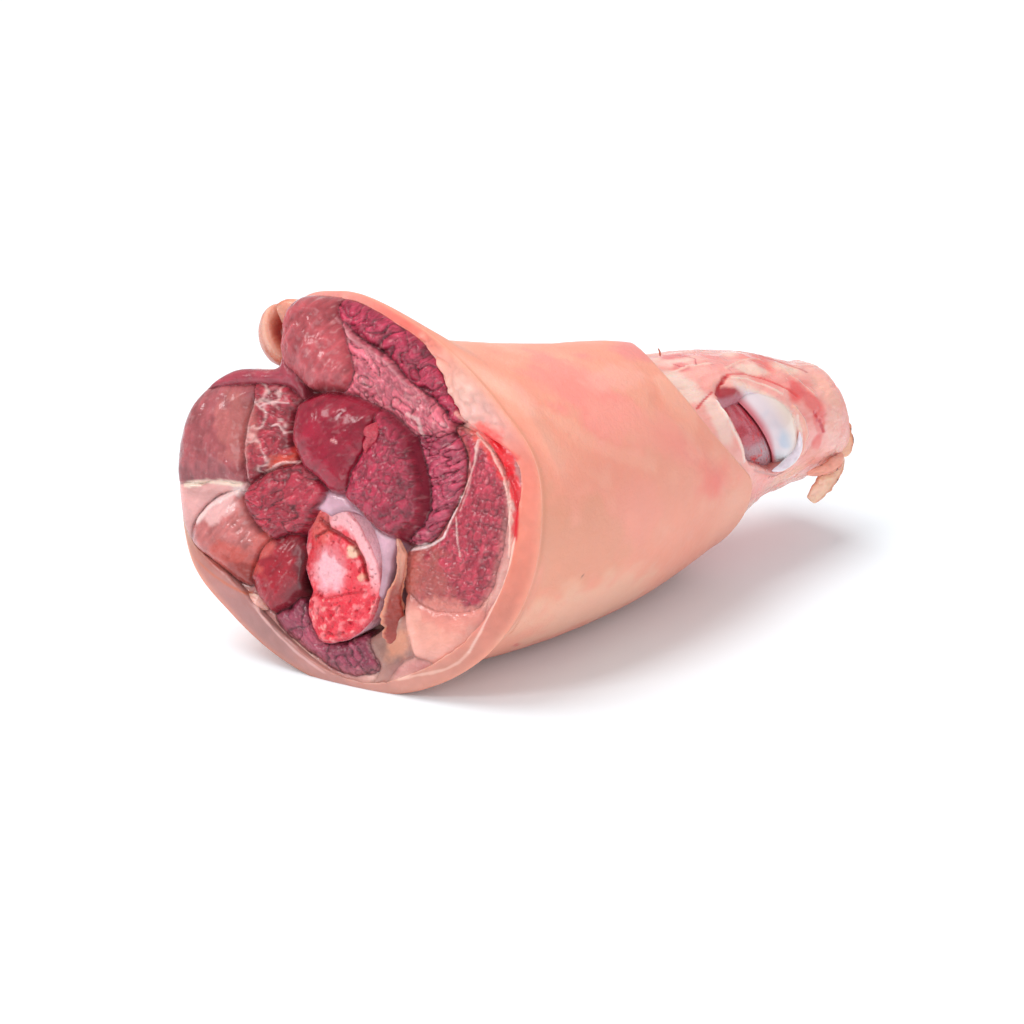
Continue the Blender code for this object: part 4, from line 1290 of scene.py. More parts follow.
@dataclass
class HockTissue:
    """The wet sheath round the hock, with the window over the joint."""

    columns: int = 340
    rows: int = 270
    start: float = 50.0
    window: tuple = (
        (84, 53), (81.8, 45), (82.1, 35), (84.0, 25), (84.9, 15), (86.8, 7), (93.5, 1), (99.5, -6),
        (105.5, -10), (112.5, -7), (116.2, 3), (118.3, 14), (117.6, 21), (114.5, 29), (108.6, 38),
        (101.1, 48), (94.0, 53), (88.7, 55),
    )
    window_middle: tuple = (100.0, 11.0)
    window_reach: tuple = (27.0, 28.0)
    soft_side: tuple = (100.0, 104.5)
    soft_top: tuple = (19.5, 25.0)
    wedge_arc: tuple = (10.0, 16.0, 23.0, 25.0)
    tucked: float = 0.04
    capped: float = 0.12
    window_depth: float = 6.0
    shallow: float = 4.3
    arc_per_degree: float = 0.506
    tissue_colour: tuple = (250, 174, 164)
    wall_colour: tuple = (172, 36, 52)
    wedge_colour: tuple = (190, 112, 128)
    dome_edge_colour: tuple = (252, 216, 202)
    dome_colour: tuple = (234, 220, 230)
    grain: Grain = Grain(23)
    patches: tuple = (
        Patch(70, 60, 8, 14, 0, (250, 222, 208), 0.7, 0.5),
        Patch(77, 34, 5, 18, 0, (252, 214, 202), 0.8, 0.4),
        Patch(84, 88, 9, 8, 0, (228, 104, 110), 0.8, 0.6),
        Patch(97, 84, 9, 9, 0, (246, 140, 136), 0.7, 0.6),
        Patch(80, 76, 4, 6, 0, (222, 100, 106), 0.6, 0.7),
        Patch(124, 62, 15, 26, 0, (248, 134, 126), 0.55, 0.7),
        Patch(118, 78, 11, 14, 0, (244, 112, 106), 0.85, 0.6),
        Patch(109, 66, 9, 6, -20, (250, 212, 196), 0.8, 0.4),
        Patch(131, 68, 9, 10, 0, (252, 206, 186), 0.8, 0.5),
        Patch(124, 46, 6, 12, -20, (240, 80, 80), 0.85, 0.6),
        Patch(131, 34, 6, 14, 10, (238, 100, 98), 0.8, 0.6),
        Patch(130.5, 18, 4, 14, 0, (240, 104, 100), 0.7, 0.8),
        Patch(129, 4, 3, 8, 0, (240, 104, 100), 0.7, 0.8),
        Patch(142, 44, 6, 24, 0, (250, 186, 168), 0.7, 0.5),
        Patch(141, 14, 5, 14, 0, (250, 176, 160), 0.7, 0.5),
        Patch(126, -12, 8, 10, 0, (246, 158, 142), 0.7, 0.6),
        Patch(112, -22, 12, 8, 0, (250, 190, 168), 0.8, 0.5),
        Patch(118, -44, 22, 14, 0, (240, 168, 148), 0.7, 0.5),
        Patch(118, 110, 22, 12, 0, (236, 130, 126), 0.6, 0.6),
    )
    marks: tuple = (
        Strand(((84, 50), (87, 55), (93, 60)), 2.6, (200, 10, 24), 1.0, -0.5),
        Strand(((84, 50), (89, 47), (94, 42), (98, 36)), 1.8, (196, 20, 40), 0.95, 0.0),
        Strand(((82, 52), (75, 48), (69, 44)), 1.1, (216, 44, 52), 0.9, -0.3),
        Strand(((94, 61), (104, 62), (112, 56), (119, 47), (123, 40)), 1.5, (236, 70, 72), 0.8, -0.3),
        Strand(((95, 58), (103, 57), (110, 50), (115, 42)), 1.6, (252, 216, 202), 0.8, 0.3),
        Strand(
            ((118.5, 32), (121.5, 22), (121.5, 10), (118, -3), (110, -12)), 2.4, (252, 184, 166), 0.85, 0.6,
        ),
        Strand(((119.0, 26), (119.4, 14), (117, 1)), 0.8, (255, 226, 218), 0.8, 0.2),
        Strand(((96, 66), (108, 74), (120, 78)), 1.4, (252, 206, 188), 0.6, 0.4),
        Strand(((72, 72), (82, 74), (92, 72)), 1.5, (252, 216, 202), 0.7, 0.4),
        Strand(((80.5, 46), (80.6, 34), (82.6, 22), (84, 8)), 1.0, (255, 232, 224), 0.8, 0.4),
        Strand(((86, 88), (89, 80), (86, 74)), 0.8, (190, 70, 90), 0.7, -0.2),
        Strand(((96, 101), (108, 99), (121, 93), (131, 82), (139, 66)), 1.7, (186, 52, 66), 0.55, 0.0),
        Strand(((78, 80), (80, 74)), 0.7, (200, 60, 76), 0.7, -0.2),
        Strand(((90, 1), (97, -6), (104, -13)), 1.3, (196, 160, 156), 0.7, 0.4),
        Strand(((99, -11), (106, -15), (112, -14)), 0.6, (120, 52, 48), 0.8, -0.2),
        Strand(((127, 62), (131, 52), (134, 40)), 1.2, (254, 206, 192), 0.6, 0.4),
        Strand(((131.4, 20), (132.2, 15), (132.6, 11)), 2.3, (204, 22, 40), 0.9, 0.0),
        Strand(((129.0, 27), (129.8, 23), (129.6, 20)), 1.8, (210, 28, 44), 0.85, 0.0),
    )

    def opening(self, x: Numbers, angle: Numbers) -> tuple[Numbers, Numbers, Numbers]:
        """Where the window lies.

        Args:
            x: Distance along the hock.
            angle: Angle round the hock.

        Returns:
            Millimetres inside the window's outline, how soft its border is from 0 to 1, and from 0 to 1
            whether the place is on the side where the tissue merges with the domed hock bone.
        """
        corners = [(place, turn * self.arc_per_degree) for place, turn in self.window]
        arc = signed(angle) * self.arc_per_degree
        depth = np.full(x.shape, -9.0)
        beside = np.abs(x - self.window_middle[0]) < self.window_reach[0]
        near = beside & (np.abs(arc - self.window_middle[1]) < self.window_reach[1])
        depth[near] = inside_by(x[near], arc[near], smooth_loop(corners))
        domed = ease(*self.soft_side, arc + 0.8 * x)
        return depth, np.maximum(domed, ease(*self.soft_top, arc)), domed

    def form(self, u: Numbers, v: Numbers) -> tuple[Numbers, dict[str, Numbers]]:
        """Place and colour the sheath from inside the sleeve to its blunt tip.

        Args:
            u: Share of the way round.
            v: Share of the way along, from the hidden start to the tip.

        Returns:
            Points in millimetres, and the mesh values by name.
        """
        angle = (u * 360) % 360
        first = np.clip(v / self.tucked, 0, 1)
        shaft = np.clip((v - self.tucked) / (1 - self.tucked - self.capped), 0, 1)
        cap = np.clip((v - (1 - self.capped)) / self.capped, 0, 1)
        x = self.start * (1 - shaft) + BODY.hock_shoulder * shaft
        skin = BODY.on_hock(x, angle)
        middle = BODY.axis(BODY.hock, x)
        closing = np.clip(1 - cap**BODY.hock_bluntness, 0, 1) ** (1 / BODY.hock_bluntness) * first
        spoke = skin - middle
        length = np.linalg.norm(spoke, axis=-1)
        depth, soft, domed = self.opening(x, angle)
        depth = depth + 0.5 * self.grain.rough(skin, 4.0, 3)
        sharp = ease(-0.3, 1.1, depth)
        merged = ease(-2.5, 3.8, depth)
        inside = sharp * (1 - soft) + merged * soft
        bead = bell(-0.9, 0.9, depth) * (1 - soft)
        side = signed(angle)
        place = middle + spoke * closing[..., None]
        folds = self.grain.rough(place * np.array([0.4, 1, 1]), 5.0, 3)
        lumps = self.grain.rough(place, 13.0, 2)
        fine = self.grain.rough(place, 2.2, 3)
        crease = 1 - ease(0.0, 0.14, np.abs(self.grain.rough(place * np.array([0.5, 1, 1]) + 31, 9.0, 2)))
        lift = -0.2 + 1.1 * lumps + 0.6 * folds + 0.12 * fine - 0.2 * crease + 0.4 * bead
        lift = lift - (self.window_depth - self.shallow * soft) * inside
        tint = self.colours(place, x, side, fine, folds, crease)
        for mark in self.marks:
            share = mark.share(x, side, fine)
            tint = blend(tint, mark.colour, mark.strength * share)
            lift = lift + mark.rise * share
        tint = blend(tint, self.wall_colour, 0.95 * ease(0.0, 1.4, depth) * (1 - domed))
        wedge = span(self.wedge_arc, side * self.arc_per_degree)
        tint = blend(tint, self.wedge_colour, 0.8 * wedge * ease(0.4, 1.6, depth) * (1 - domed))
        tint = blend(tint, self.dome_edge_colour, 0.8 * ease(-3.0, -0.6, depth) * domed)
        tint = blend(tint, self.dome_colour, 0.9 * ease(-0.8, 1.6, depth) * domed)
        reach = closing * (1 + lift / np.maximum(length, 1))
        points = middle + spoke * reach[..., None]
        points[..., 0] += BODY.hock_tip * cap
        return points, {"tint": tint, "wet": 0.5 + 0.5 * lumps}

    def colours(
        self, place: Numbers, x: Numbers, side: Numbers, fine: Numbers, folds: Numbers, crease: Numbers
    ) -> Numbers:
        """Cream and pink tissue with blood spots.

        Args:
            place: Points in millimetres, closed at the tip.
            x: Distance along the hock.
            side: Angle round the hock, from -180 to 180.
            fine: Fine noise.
            folds: Noise of the folds.
            crease: How much of a crease shows, from 0 to 1.

        Returns:
            Linear colours.
        """
        broad = self.grain.rough(place * np.array([0.6, 1, 1]), 12.0, 3)
        tint = all_over(self.tissue_colour, x)
        tint = blend(tint, (248, 142, 138), 0.5 * ease(0.05, 0.7, broad))
        tint = blend(tint, (254, 218, 206), 0.6 * ease(0.05, 0.6, -broad))
        tint = tint * (1 + 0.12 * folds + 0.05 * fine)[..., None]
        tint = blend(tint, (230, 110, 110), 0.18 * crease)
        for patch in self.patches:
            tint = blend(tint, patch.colour, patch.share(x, side, folds))
        speck = ease(0.5, 0.7, self.grain.rough(place, 1.6, 2))
        return blend(tint, (190, 50, 54), 0.3 * speck * ease(0.0, 0.5, broad))

    def build(self, maker: Maker) -> bpy.types.Object:
        """Make the hock's tissue."""
        return maker.piece("hock_tissue", self.columns, self.rows, self.form, SHEATH_FINISH, Slot.MEAT)


@dataclass
class Bone:
    """A bone lofted through turned sections; its kinds give it form and colour at each end."""

    name: str
    node: str
    stations: tuple
    finish: Finish
    slot: Slot
    columns: int = 220
    rows: int = 240
    near_share: float = 0.4
    far_share: float = 0.2
    drawn_in: float = 0.985
    grain: Grain = Grain(31)

    def form(self, u: Numbers, v: Numbers) -> tuple[Numbers, dict[str, Numbers]]:
        """Place and colour the bone.

        Each station is a point, a half width, a half height, and the section's yaw and pitch.

        Args:
            u: Share of the way round.
            v: Share of the way along: near end, shaft, far end.

        Returns:
            Points in millimetres, and the mesh values by name.
        """
        angle = u * 360
        turn = np.radians(angle)
        last = len(self.stations) - 1
        near = np.clip(v / self.near_share, 0, 1)
        far = np.clip((1 - v) / self.far_share, 0, 1)
        shaft = np.clip((v - self.near_share) / (1 - self.near_share - self.far_share), 0, 1)
        table = np.array(self.stations, float)
        x, y, z, width, height, yaw, pitch = [
            through(np.arange(last + 1), table[:, column], shaft * last) for column in range(7)
        ]
        across, up, out = plane_axes(yaw, pitch)
        closing = np.minimum(near, far)
        oval = 1 / np.hypot(np.cos(turn) / width, np.sin(turn) / height)
        p = oval * closing * np.cos(turn)
        q = oval * closing * np.sin(turn)
        p, q = self.reshape(p, q, closing, angle, shaft)
        lift, tint = self.paint(p, q, closing, v, shaft)
        sign = np.where(v < self.near_share, 1.0, np.where(v > 1 - self.far_share, -1.0, 0.0))
        middle = np.stack([x, y, z], -1)
        points = middle + p[..., None] * across + q[..., None] * up + (lift * sign)[..., None] * out
        return points, {"tint": tint, "wet": self.wetness(v)}

    def reshape(
        self, p: Numbers, q: Numbers, closing: Numbers, angle: Numbers, shaft: Numbers
    ) -> tuple[Numbers, Numbers]:
        """Draw the section in a little, so that the bone lies inside its place.

        Args:
            p: Distance across the section.
            q: Distance up the section.
            closing: Share of the way from the middle of an end to its border.
            angle: Angle round the section.
            shaft: Share of the way along the shaft.

        Returns:
            The new distances across and up.
        """
        return p * self.drawn_in, q * self.drawn_in

    def paint(
        self, p: Numbers, q: Numbers, closing: Numbers, v: Numbers, shaft: Numbers
    ) -> tuple[Numbers, Numbers]:
        """Finish the surface.

        Args:
            p: Distance across the section.
            q: Distance up the section.
            closing: Share of the way from the middle of an end to its border.
            v: Share of the way along the whole bone.
            shaft: Share of the way along the shaft.

        Returns:
            Relief of the ends in millimetres, and linear colours.
        """
        return 0 * p, all_over((230, 200, 190), p)

    def wetness(self, v: Numbers) -> Numbers:
        """How wet the surface is."""
        return 0.4 + 0 * v

    def build(self, maker: Maker) -> bpy.types.Object:
        """Make the bone in place of its node."""
        return maker.piece(
            self.name, self.columns, self.rows, self.form, self.finish, self.slot, (self.node,),
        )


@dataclass
class ShankBone(Bone):
    """The shank bone: sawn spongy end with its knob, shaft, and the purple facet of the joint."""

    joint_start: tuple = (0.62, 0.68)
    marrow: Patch = Patch(-7, 0, 6, 8, 8, (0, 0, 0), 1.0, 0.3)
    sawn_middle: tuple = (-2.5, -1.0)
    sawn_radius: tuple = (
        (11, 12.8), (42, 12.8), (69, 14.8), (89, 18.9), (99, 21.0), (112, 21.8), (127, 22.4), (134, 21.2),
        (143, 18), (157, 15.8), (175, 13.8), (198, 12.2), (216, 12.0), (230, 16.0), (242, 18.7), (258, 21.8),
        (280, 20.8), (295, 19.3), (309, 17.9), (326, 16.1), (348, 14.4),
    )
    hollows: tuple = (
        Strand(
            ((-13.5, 15), (-9.2, 12), (-5, 10.8), (0, 8.7), (3.5, 4.6), (6, -1)),
            1.3, (150, 48, 50), 0.8, -1.3,
        ),
        Strand(((-14, 9), (-10, 12), (-11, 16)), 0.9, (150, 52, 50), 0.65, -1.0),
        Strand(((-12, -8.5), (-7, -9.5), (0, -6.5), (6, -5)), 0.8, (196, 40, 54), 0.5, -0.5),
    )
    blots: tuple = (
        Patch(-12.5, 12, 4, 7, 20, (222, 92, 84), 0.8, 0.6),
        Patch(-7, 0, 6.6, 8.2, 8, (248, 184, 194), 0.95, 0.35),
        Patch(-3, 4, 9, 3, -35, (216, 30, 50), 0.6, 0.7),
        Patch(2, -2, 4, 8, 10, (226, 40, 60), 0.7, 0.6),
        Patch(-13, 5, 2.4, 5, 0, (214, 36, 50), 0.7, 0.5),
        Patch(-0.7, 6.4, 2.4, 2.2, 0, (244, 204, 176), 0.9, 0.6),
        Patch(4, -1, 1.4, 1.6, 0, (240, 190, 160), 0.7, 0.6),
    )

    def reshape(
        self, p: Numbers, q: Numbers, closing: Numbers, angle: Numbers, shaft: Numbers
    ) -> tuple[Numbers, Numbers]:
        """Give the sawn end its real outline with ragged edges, and ease it into the shaft's oval."""
        turn = np.radians(angle)
        ragged = 1 + 0.03 * self.grain.rough(planar(40 * np.cos(turn), 40 * np.sin(turn)), 6.0, 3)
        radius = around(self.sawn_radius, angle) * closing * ragged
        share = 1 - ease(0.0, 0.22, shaft)
        sawn_p = self.sawn_middle[0] + radius * np.cos(turn)
        sawn_q = self.sawn_middle[1] + radius * np.sin(turn)
        oval = self.drawn_in * (1 - share)
        return p * oval + sawn_p * share, q * oval + sawn_q * share

    def paint(
        self, p: Numbers, q: Numbers, closing: Numbers, v: Numbers, shaft: Numbers
    ) -> tuple[Numbers, Numbers]:
        """Spongy red bone with a pale marrow, a granular knob and a smooth pink rim."""
        flat = planar(p, q)
        spots = self.grain.rough(flat, 2.0, 4)
        broad = self.grain.rough(flat, 8.0, 3)
        grit = self.grain.rough(flat, 1.1, 2)
        tint = all_over((236, 70, 84), p)
        tint = blend(tint, (246, 140, 146), ease(0.0, 0.5, spots + 0.3 * broad))
        rim = ease(0.64, 0.78, closing) * ease(-8, 2, q) * ease(-9, -3, p + 0.3 * q)
        tint = blend(tint, (250, 184, 190), 0.95 * rim)
        lift = 0.35 * spots + 0.5 * rim
        for blot in self.blots:
            share = blot.share(p, q, spots)
            tint = blend(tint, blot.colour, share)
            lift = lift + 0.5 * share
        knob = ease(0.0, 1.0, (-7.5 - q + 0.024 * (p + 2) ** 2 + 1.5 * broad) / 2.5)
        red = blend(tint, (224, 40, 62), 0.9 * ease(-0.2, 0.4, -spots))
        red = blend(red, (244, 120, 126), 0.8 * ease(0.05, 0.5, spots))
        red = blend(red, (250, 206, 196), 0.5 * ease(0.35, 0.6, grit))
        tint = tint * (1 - knob[..., None]) + red * knob[..., None]
        lift = lift + knob * (1.3 + 0.9 * spots + 0.6 * grit)
        for hollow in self.hollows:
            share = hollow.share(p, q, spots)
            tint = blend(tint, hollow.colour, hollow.strength * share)
            lift = lift + hollow.rise * share
        pores = ease(0.35, 0.6, -grit) * (1 - 0.7 * self.marrow.share(p, q, spots))
        tint = blend(tint, (150, 20, 36), 0.5 * pores)
        lift = lift - 0.4 * pores
        edge = ease(0.93, 1.0, closing)
        tint = blend(tint, (190, 30, 60), 0.6 * edge)
        lift = lift * (1 - 0.7 * edge)

        joint = ease(*self.joint_start, shaft) * (v >= self.near_share)
        along = planar(150 * shaft + p, q)
        dots = ease(0.30, 0.55, self.grain.rough(along, 2.2, 3))
        clouds = self.grain.rough(along, 7.0, 3)
        purple = all_over((188, 56, 72), p)
        purple = blend(purple, (202, 104, 116), ease(0.0, 0.5, clouds))
        purple = blend(purple, (190, 160, 168), 0.8 * (1 - ease(0, 4, q + 3 * clouds)))
        purple = blend(purple, (222, 36, 40), 0.9 * dots)
        purple = blend(purple, (130, 16, 34), 0.8 * ease(0.975, 0.995, shaft))
        sides = blend(all_over((206, 120, 128), p), (232, 176, 186), ease(-0.2, 0.4, broad))
        tint = np.where((v >= self.near_share)[..., None], sides, tint)
        tint = tint * (1 - joint[..., None]) + purple * joint[..., None]
        return np.where(v < self.near_share, lift, 0.0), tint


@dataclass
class HockBone(Bone):
    """The hock bone: a smooth wet cap of blue-white cartilage."""

    def paint(
        self, p: Numbers, q: Numbers, closing: Numbers, v: Numbers, shaft: Numbers
    ) -> tuple[Numbers, Numbers]:
        """Blue-white with a pinker border at the joint and a cream far side."""
        broad = self.grain.rough(planar(p + 40 * v, q), 8.0, 3)
        tint = all_over((230, 212, 218), p)
        tint = blend(tint, (198, 202, 218), ease(0.0, 0.6, broad + 0.02 * (6 - q)))
        tint = blend(tint, (232, 236, 236), 0.8 * (1 - ease(-10, -2, q)))
        near = (1 - ease(0.0, 0.10 + 0.10 * ease(-6, 6, q), shaft)) * (v >= self.near_share)
        tint = blend(tint, (206, 60, 80), 0.85 * near)
        tint = blend(tint, (150, 30, 44), (v < self.near_share) * 0.9)
        return 0 * p, blend(tint, (252, 224, 208), ease(0.30, 0.62, shaft) * 0.9)

    def wetness(self, v: Numbers) -> Numbers:
        """Very wet."""
        return 0.9 + 0 * v


SHANK_STATIONS = (
    (-51.8, 8.3, 33.8, 15.5, 21.5, 20, 20), (-38, 7, 35.5, 14, 18.5, 17, 15),
    (-15, 4.5, 39, 12.5, 13.5, 10, 6), (20, 1, 42, 11.5, 11.5, 2, -4), (60, -4, 45, 12.5, 12.5, -3, -16),
    (84, -9, 46.5, 16, 17.5, -4.6, -25), (97, -11, 46.8, 17.5, 20.5, -4.6, -28.4),
    (102.85, -11.3, 46.8, 16.5, 19.5, -4.6, -28.4),
)
HOCK_BONE_STATIONS = (
    (103.05, -11.5, 47, 16.9, 20.0, -4.6, -28.4), (110, -12, 46.5, 17.9, 20.6, -4.6, -24),
    (118, -11.5, 44.5, 16, 18, 0, -12), (127, -10, 41.5, 9.5, 11, 4, 0),
)


@dataclass
class Ribbon:
    """A strip of tissue: flat oval sections along a smooth path, with rounded ends."""

    name: str
    stations: tuple
    colour: tuple
    edge_colour: tuple
    face: tuple = (-0.64, -0.67, 0.37)
    finish: Finish = SHEATH_FINISH
    slot: Slot = Slot.MEAT
    relief: float = 0.35
    tail: tuple = ()
    specked: float = 0.0
    bluntness: float = 3.0
    speck_colour: tuple = (92, 46, 40)
    columns: int = 60
    rows: int = 120
    grain: Grain = Grain(41)

    def form(self, u: Numbers, v: Numbers) -> tuple[Numbers, dict[str, Numbers]]:
        """Place and colour the strip.

        Each station is a point, a half width, a half thickness and a turn round the path.

        Args:
            u: Share of the way round the strip.
            v: Share of the way along it.

        Returns:
            Points in millimetres, and the mesh values by name.
        """
        table = np.array(self.stations, float)
        places = np.linspace(0, 1, len(table))
        path = np.stack([through(places, table[:, column], v) for column in range(3)], -1)
        ahead = np.stack([through(places, table[:, column], v + 0.01) for column in range(3)], -1)
        run = unit(ahead - path)
        wide, thick, roll = [through(places, table[:, column], v) for column in range(3, 6)]
        side = unit(np.cross(run, np.array(self.face)))
        front = np.cross(side, run)
        roll = np.radians(roll)[..., None]
        side, front = (
            side * np.cos(roll) + front * np.sin(roll),
            front * np.cos(roll) - side * np.sin(roll),
        )
        closing = np.clip(1 - np.abs(2 * v - 1) ** self.bluntness, 0, 1) ** (1 / self.bluntness)
        turn = u * 2 * np.pi
        rough = self.grain.rough(path + side * np.cos(turn)[..., None] * 4, 2.6, 3)
        reach = closing * (1 + self.relief * rough * 0.35)
        over = wide * np.cos(turn) * reach
        lift = thick * np.sin(turn) * reach
        points = path + side * over[..., None] + front * lift[..., None]
        border = ease(0.6, 0.95, np.abs(np.cos(turn)) * closing + 0.1 * rough)
        tint = all_over(self.colour, u)
        if self.tail:
            tint = blend(tint, self.tail, ease(0.25, 0.6, v + 0.15 * rough))
        tint = tint * (1 + 0.3 * rough)[..., None]
        tint = blend(tint, self.edge_colour, border)
        dark = ease(0.25, 0.45, self.grain.rough(points, 1.4, 2))
        tint = blend(tint, self.speck_colour, self.specked * border * dark)
        return points, {"tint": tint, "wet": 0.5 + 0.3 * rough}

    def build(self, maker: Maker) -> bpy.types.Object:
        """Make the strip."""
        return maker.piece(self.name, self.columns, self.rows, self.form, self.finish, self.slot)


@dataclass
class SkinCurl:
    """The ear of rind folded over at the lip: a bowl of skin with an orange hollow, painted darker at its
    deepest part as shade.
    """

    centre: tuple = (-40.0, 44.8, -7.0)
    half: tuple = (7.0, 9.0, 10.6)
    hollow_towards: tuple = (-0.30, -0.98, 0.30)
    hollow_depth: float = 0.62
    lean: float = -14.0
    columns: int = 110
    rows: int = 90
    grain: Grain = Grain(47)

    def form(self, u: Numbers, v: Numbers) -> tuple[Numbers, dict[str, Numbers]]:
        """Place and colour the ear."""
        turn = u * 2 * np.pi
        slope = v * np.pi
        ball = np.stack([np.sin(slope) * np.cos(turn), np.sin(slope) * np.sin(turn), np.cos(slope)], -1)
        facing = ball @ unit(np.array(self.hollow_towards))
        hollow = ease(0.36, 0.86, facing)
        reach = 1 - self.hollow_depth * hollow
        rough = self.grain.rough(ball * 8, 5.0, 3)
        local = ball * (reach * (0.97 + 0.05 * rough))[..., None] * np.array(self.half)
        lean = np.radians(self.lean)
        local = np.stack([
            local[..., 0], local[..., 1] * np.cos(lean) - local[..., 2] * np.sin(lean),
            local[..., 1] * np.sin(lean) + local[..., 2] * np.cos(lean),
        ], -1)
        points = BODY.on_cut(*self.centre) + local
        tint = all_over((206, 124, 100), u) * (1 + 0.2 * rough)[..., None]
        tint = blend(tint, (228, 168, 146), bell(0.30, 0.16, facing))
        tint = blend(tint, (156, 50, 40), ease(0.46, 0.72, facing + 0.1 * rough))
        # Painted shade: the deepest part of the hollow is darkened.
        tint = blend(tint, (96, 34, 32), 0.8 * ease(0.78, 0.96, facing + 0.1 * rough))
        return points, {"tint": tint, "wet": 0.4 + 0 * u}

    def build(self, maker: Maker) -> bpy.types.Object:
        """Make the ear."""
        return maker.piece("skin_curl", self.columns, self.rows, self.form, SHEATH_FINISH, Slot.MEAT)


def along_cut(places: Sequence[tuple], sizes: Sequence[tuple]) -> tuple:
    """Stations of a strip from (across, up, rise) places on the cut and their sizes."""
    return tuple((*BODY.on_cut(*place), *size) for place, size in zip(places, sizes))


def ribbons() -> list[Ribbon]:
    """The tendon flap by the bone, small scraps of the cut, and the ragged ends of the hock."""
    tendon = along_cut(
        [(15.8, -10.5, 3.2), (18.2, -15, 3.6), (18.6, -22, 3.0), (17.2, -30, 1.8), (18.2, -38, 0.6),
         (20, -44, -1)],
        [(0.8, 0.6, 0), (1.5, 0.7, 10), (1.7, 0.8, 20), (2.8, 0.9, 22), (5.0, 0.9, 14), (3.2, 0.8, 0)],
    )
    nub = along_cut(
        [(6.4, 23.4, 9.4), (5.4, 21, 10.4), (5.6, 18.6, 10.2), (4.2, 16, 9.8), (3.6, 13.6, 9.0)],
        [(1.6, 0.9, 0), (2.6, 1.4, 0), (1.9, 1.2, 0), (1.5, 0.9, 0), (0.8, 0.6, 0)],
    )
    tag = along_cut(
        [(-37.5, -38.2, -0.8), (-34, -39.2, 0.4), (-30.5, -39.8, 0.6), (-27, -41, -0.4)],
        [(1.0, 0.6, 0), (2.2, 0.7, 0), (2.4, 0.7, 0), (1.0, 0.5, 0)],
    )
    fold = along_cut(
        [(-44, 45.5, -6.0), (-42, 49.5, -5.4), (-38.4, 53.4, -4.6), (-33, 56.6, -3.6)],
        [(2.0, 1.4, 0), (3.6, 1.8, 0), (3.2, 1.5, 0), (1.4, 0.8, 0)],
    )
    places = np.array([(117.8, 14), (116.8, 4), (113.2, -3), (107.4, -8), (101.0, -7)], float)
    rims = BODY.on_hock(places[:, 0], places[:, 1]) + np.array((0.2, 0.3, -0.2))
    sizes = [(0.5, 0.4, 0), (1.3, 0.6, 0), (1.8, 0.7, 0), (1.5, 0.6, 0), (0.7, 0.5, 0)]
    sliver = tuple((*place, *size) for place, size in zip(rims, sizes))
    return [
        Ribbon("tendon_flap", tendon, (214, 146, 126), (216, 142, 118), relief=1.7, tail=(158, 60, 50)),
        Ribbon("meat_nub", nub, (190, 62, 78), (168, 44, 62), finish=MEAT_FINISH, relief=1.0, bluntness=2.2),
        Ribbon("skin_tag", tag, (222, 158, 146), (240, 196, 182), relief=0.8, bluntness=2.2),
        Ribbon("skin_fold", fold, (228, 156, 134), (208, 124, 100), relief=0.5, bluntness=2.4),
        Ribbon("joint_sliver", sliver, (246, 226, 238), (252, 240, 244), finish=CARTILAGE_FINISH, relief=0.1),
        Ribbon("end_flap", ((147.0, -16, 46.0, 1.5, 0.6, 0), (148.2, -19.5, 40, 3.6, 0.9, 0),
                            (147.9, -22.4, 33.5, 4.2, 0.9, 8), (146.5, -24.4, 28.6, 3.4, 0.7, 14)),
               (252, 196, 168), (216, 140, 112), relief=0.6, specked=0.9),
        Ribbon("low_flap", ((127, -24.5, 27.6, 1.2, 0.7, 0), (133, -26.6, 28.2, 2.0, 0.8, 0),
                            (140, -26.6, 29.2, 2.4, 0.8, 0), (146, -24.4, 30, 1.4, 0.7, 0)),
               (250, 172, 152), (214, 130, 108), relief=0.7, specked=0.9),
        Ribbon("hanging_strip", ((146.0, -23.6, 29.6, 2.0, 0.7, 0), (141.0, -25.2, 25.8, 3.0, 0.8, 0),
                                 (135.4, -25.0, 21.2, 3.2, 0.8, 0), (130.0, -23.8, 16.8, 2.4, 0.6, 0)),
               (250, 206, 180), (222, 156, 128), relief=0.7, bluntness=5.0, specked=0.7),
        Ribbon("bristle", ((77.2, -0.9, 76.4, 0.4, 0.3, 0), (76.5, -1.2, 78.4, 0.3, 0.25, 0),
                           (75.4, -1.4, 79.8, 0.2, 0.16, 0)),
               (184, 110, 84), (150, 84, 62), relief=0.1, columns=16, rows=30),
    ]


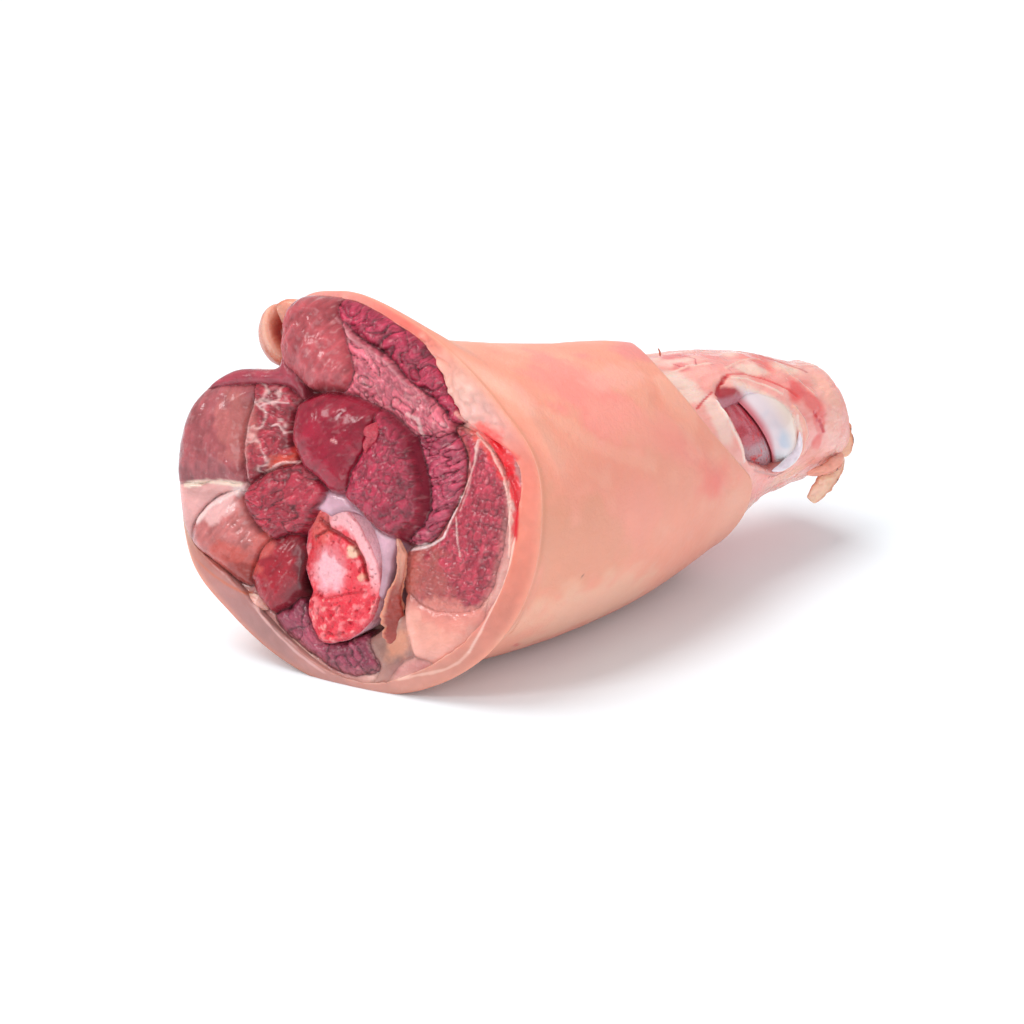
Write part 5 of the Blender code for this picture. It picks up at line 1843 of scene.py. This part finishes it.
@dataclass
class Studio:
    """A white floor, soft daylight from above and behind, two lamps in front, and the camera."""

    azimuth: float = -44.0
    elevation: float = 22.0
    distance: float = 0.900
    lens: float = 100.0
    aim: tuple = (-0.04047, -0.02489, 0.045)
    lamp_aim: tuple = (0.0, 0.0, 0.04)
    lamps: tuple = (("side", (-1.2, 0.15, 1.0), 0.4, 5.5), ("front", (-0.9, -1.3, 0.9), 0.9, 6.0))
    sun_strength: float = 1.95
    sun_spread: float = 45.0
    sun_place: tuple = (-0.14, 0.58, 1.5)
    sun_colour: tuple = (1.0, 0.99, 0.97)
    sky_strength: float = 0.52
    floor_colour: tuple = (0.88, 0.95, 1.0, 1.0)
    floor_glow: float = 0.04

    def floor(self) -> None:
        """A wide white floor."""
        bm = bmesh.new()
        bmesh.ops.create_grid(bm, x_segments=1, y_segments=1, size=3.0)
        mesh = bpy.data.meshes.new("floor")
        bm.to_mesh(mesh)
        bm.free()
        ground = bpy.data.objects.new("floor", mesh)
        bpy.context.scene.collection.objects.link(ground)
        sheet = Sheet("white_floor")
        sheet.shader.inputs["Base Color"].default_value = self.floor_colour
        sheet.shader.inputs["Roughness"].default_value = 0.7
        sheet.shader.inputs["Emission Color"].default_value = (1.0, 1.0, 1.0, 1.0)
        sheet.shader.inputs["Emission Strength"].default_value = self.floor_glow
        mesh.materials.append(sheet.material)

    def lamp(self, name: str, place: tuple, size: float, power: float) -> None:
        """A soft white square lamp that points at the knuckle."""
        light = bpy.data.lights.new(name, "AREA")
        light.size = size
        light.energy = power
        lamp = bpy.data.objects.new(name, light)
        lamp.location = place
        aim = Vector(self.lamp_aim) - Vector(place)
        lamp.rotation_euler = aim.to_track_quat("-Z", "Y").to_euler()
        bpy.context.scene.collection.objects.link(lamp)

    def daylight(self) -> None:
        """Soft even light that leaves no highlight of its own."""
        light = bpy.data.lights.new("daylight", "SUN")
        light.energy = self.sun_strength
        light.angle = np.radians(self.sun_spread)
        light.color = self.sun_colour
        lamp = bpy.data.objects.new("daylight", light)
        lamp.location = self.sun_place
        lamp.visible_glossy = False
        lamp.rotation_euler = (-Vector(self.sun_place)).to_track_quat("-Z", "Y").to_euler()
        bpy.context.scene.collection.objects.link(lamp)

    def camera(self) -> None:
        """The camera at the photograph's angle."""
        turn = np.radians(self.azimuth)
        rise = np.radians(self.elevation)
        back = Vector((np.sin(turn) * np.cos(rise), -np.cos(turn) * np.cos(rise), np.sin(rise)))
        data = bpy.data.cameras.new("camera")
        data.lens = self.lens
        data.sensor_width = 36.0
        data.clip_start = 0.01
        eye = bpy.data.objects.new("camera", data)
        eye.location = Vector(self.aim) + back * self.distance
        eye.rotation_euler = (-back).to_track_quat("-Z", "Y").to_euler()
        bpy.context.scene.collection.objects.link(eye)
        bpy.context.scene.camera = eye

    def build(self) -> None:
        """Set up floor, light and camera."""
        scene = bpy.context.scene
        scene.view_settings.view_transform = "Standard"
        world = bpy.data.worlds.new("soft_white")
        world.use_nodes = True
        sky = world.node_tree.nodes["Background"]
        sky.inputs["Color"].default_value = (1.0, 1.0, 1.0, 1.0)
        sky.inputs["Strength"].default_value = self.sky_strength
        scene.world = world
        self.floor()
        self.daylight()
        for lamp in self.lamps:
            self.lamp(*lamp)
        self.camera()


def main() -> None:
    """Build the knuckle piece by piece, and report each."""
    logging.basicConfig(level=logging.INFO, format="%(message)s")
    Studio().build()
    maker = Maker()
    pieces = [Rind().build(maker), CutFace().build(maker), HockTissue().build(maker)]
    shank = ShankBone("shank_bone_detail", "shank_bone", SHANK_STATIONS, BONE_FINISH, Slot.BONE)
    hock = HockBone("hock_bone_detail", "hock_bone", HOCK_BONE_STATIONS, CARTILAGE_FINISH, Slot.CARTILAGE)
    pieces += [shank.build(maker), hock.build(maker), SkinCurl().build(maker)]
    pieces += [ribbon.build(maker) for ribbon in ribbons()]
    LOG.info("%d pieces", len(pieces))


if __name__ == "__main__":
    main()
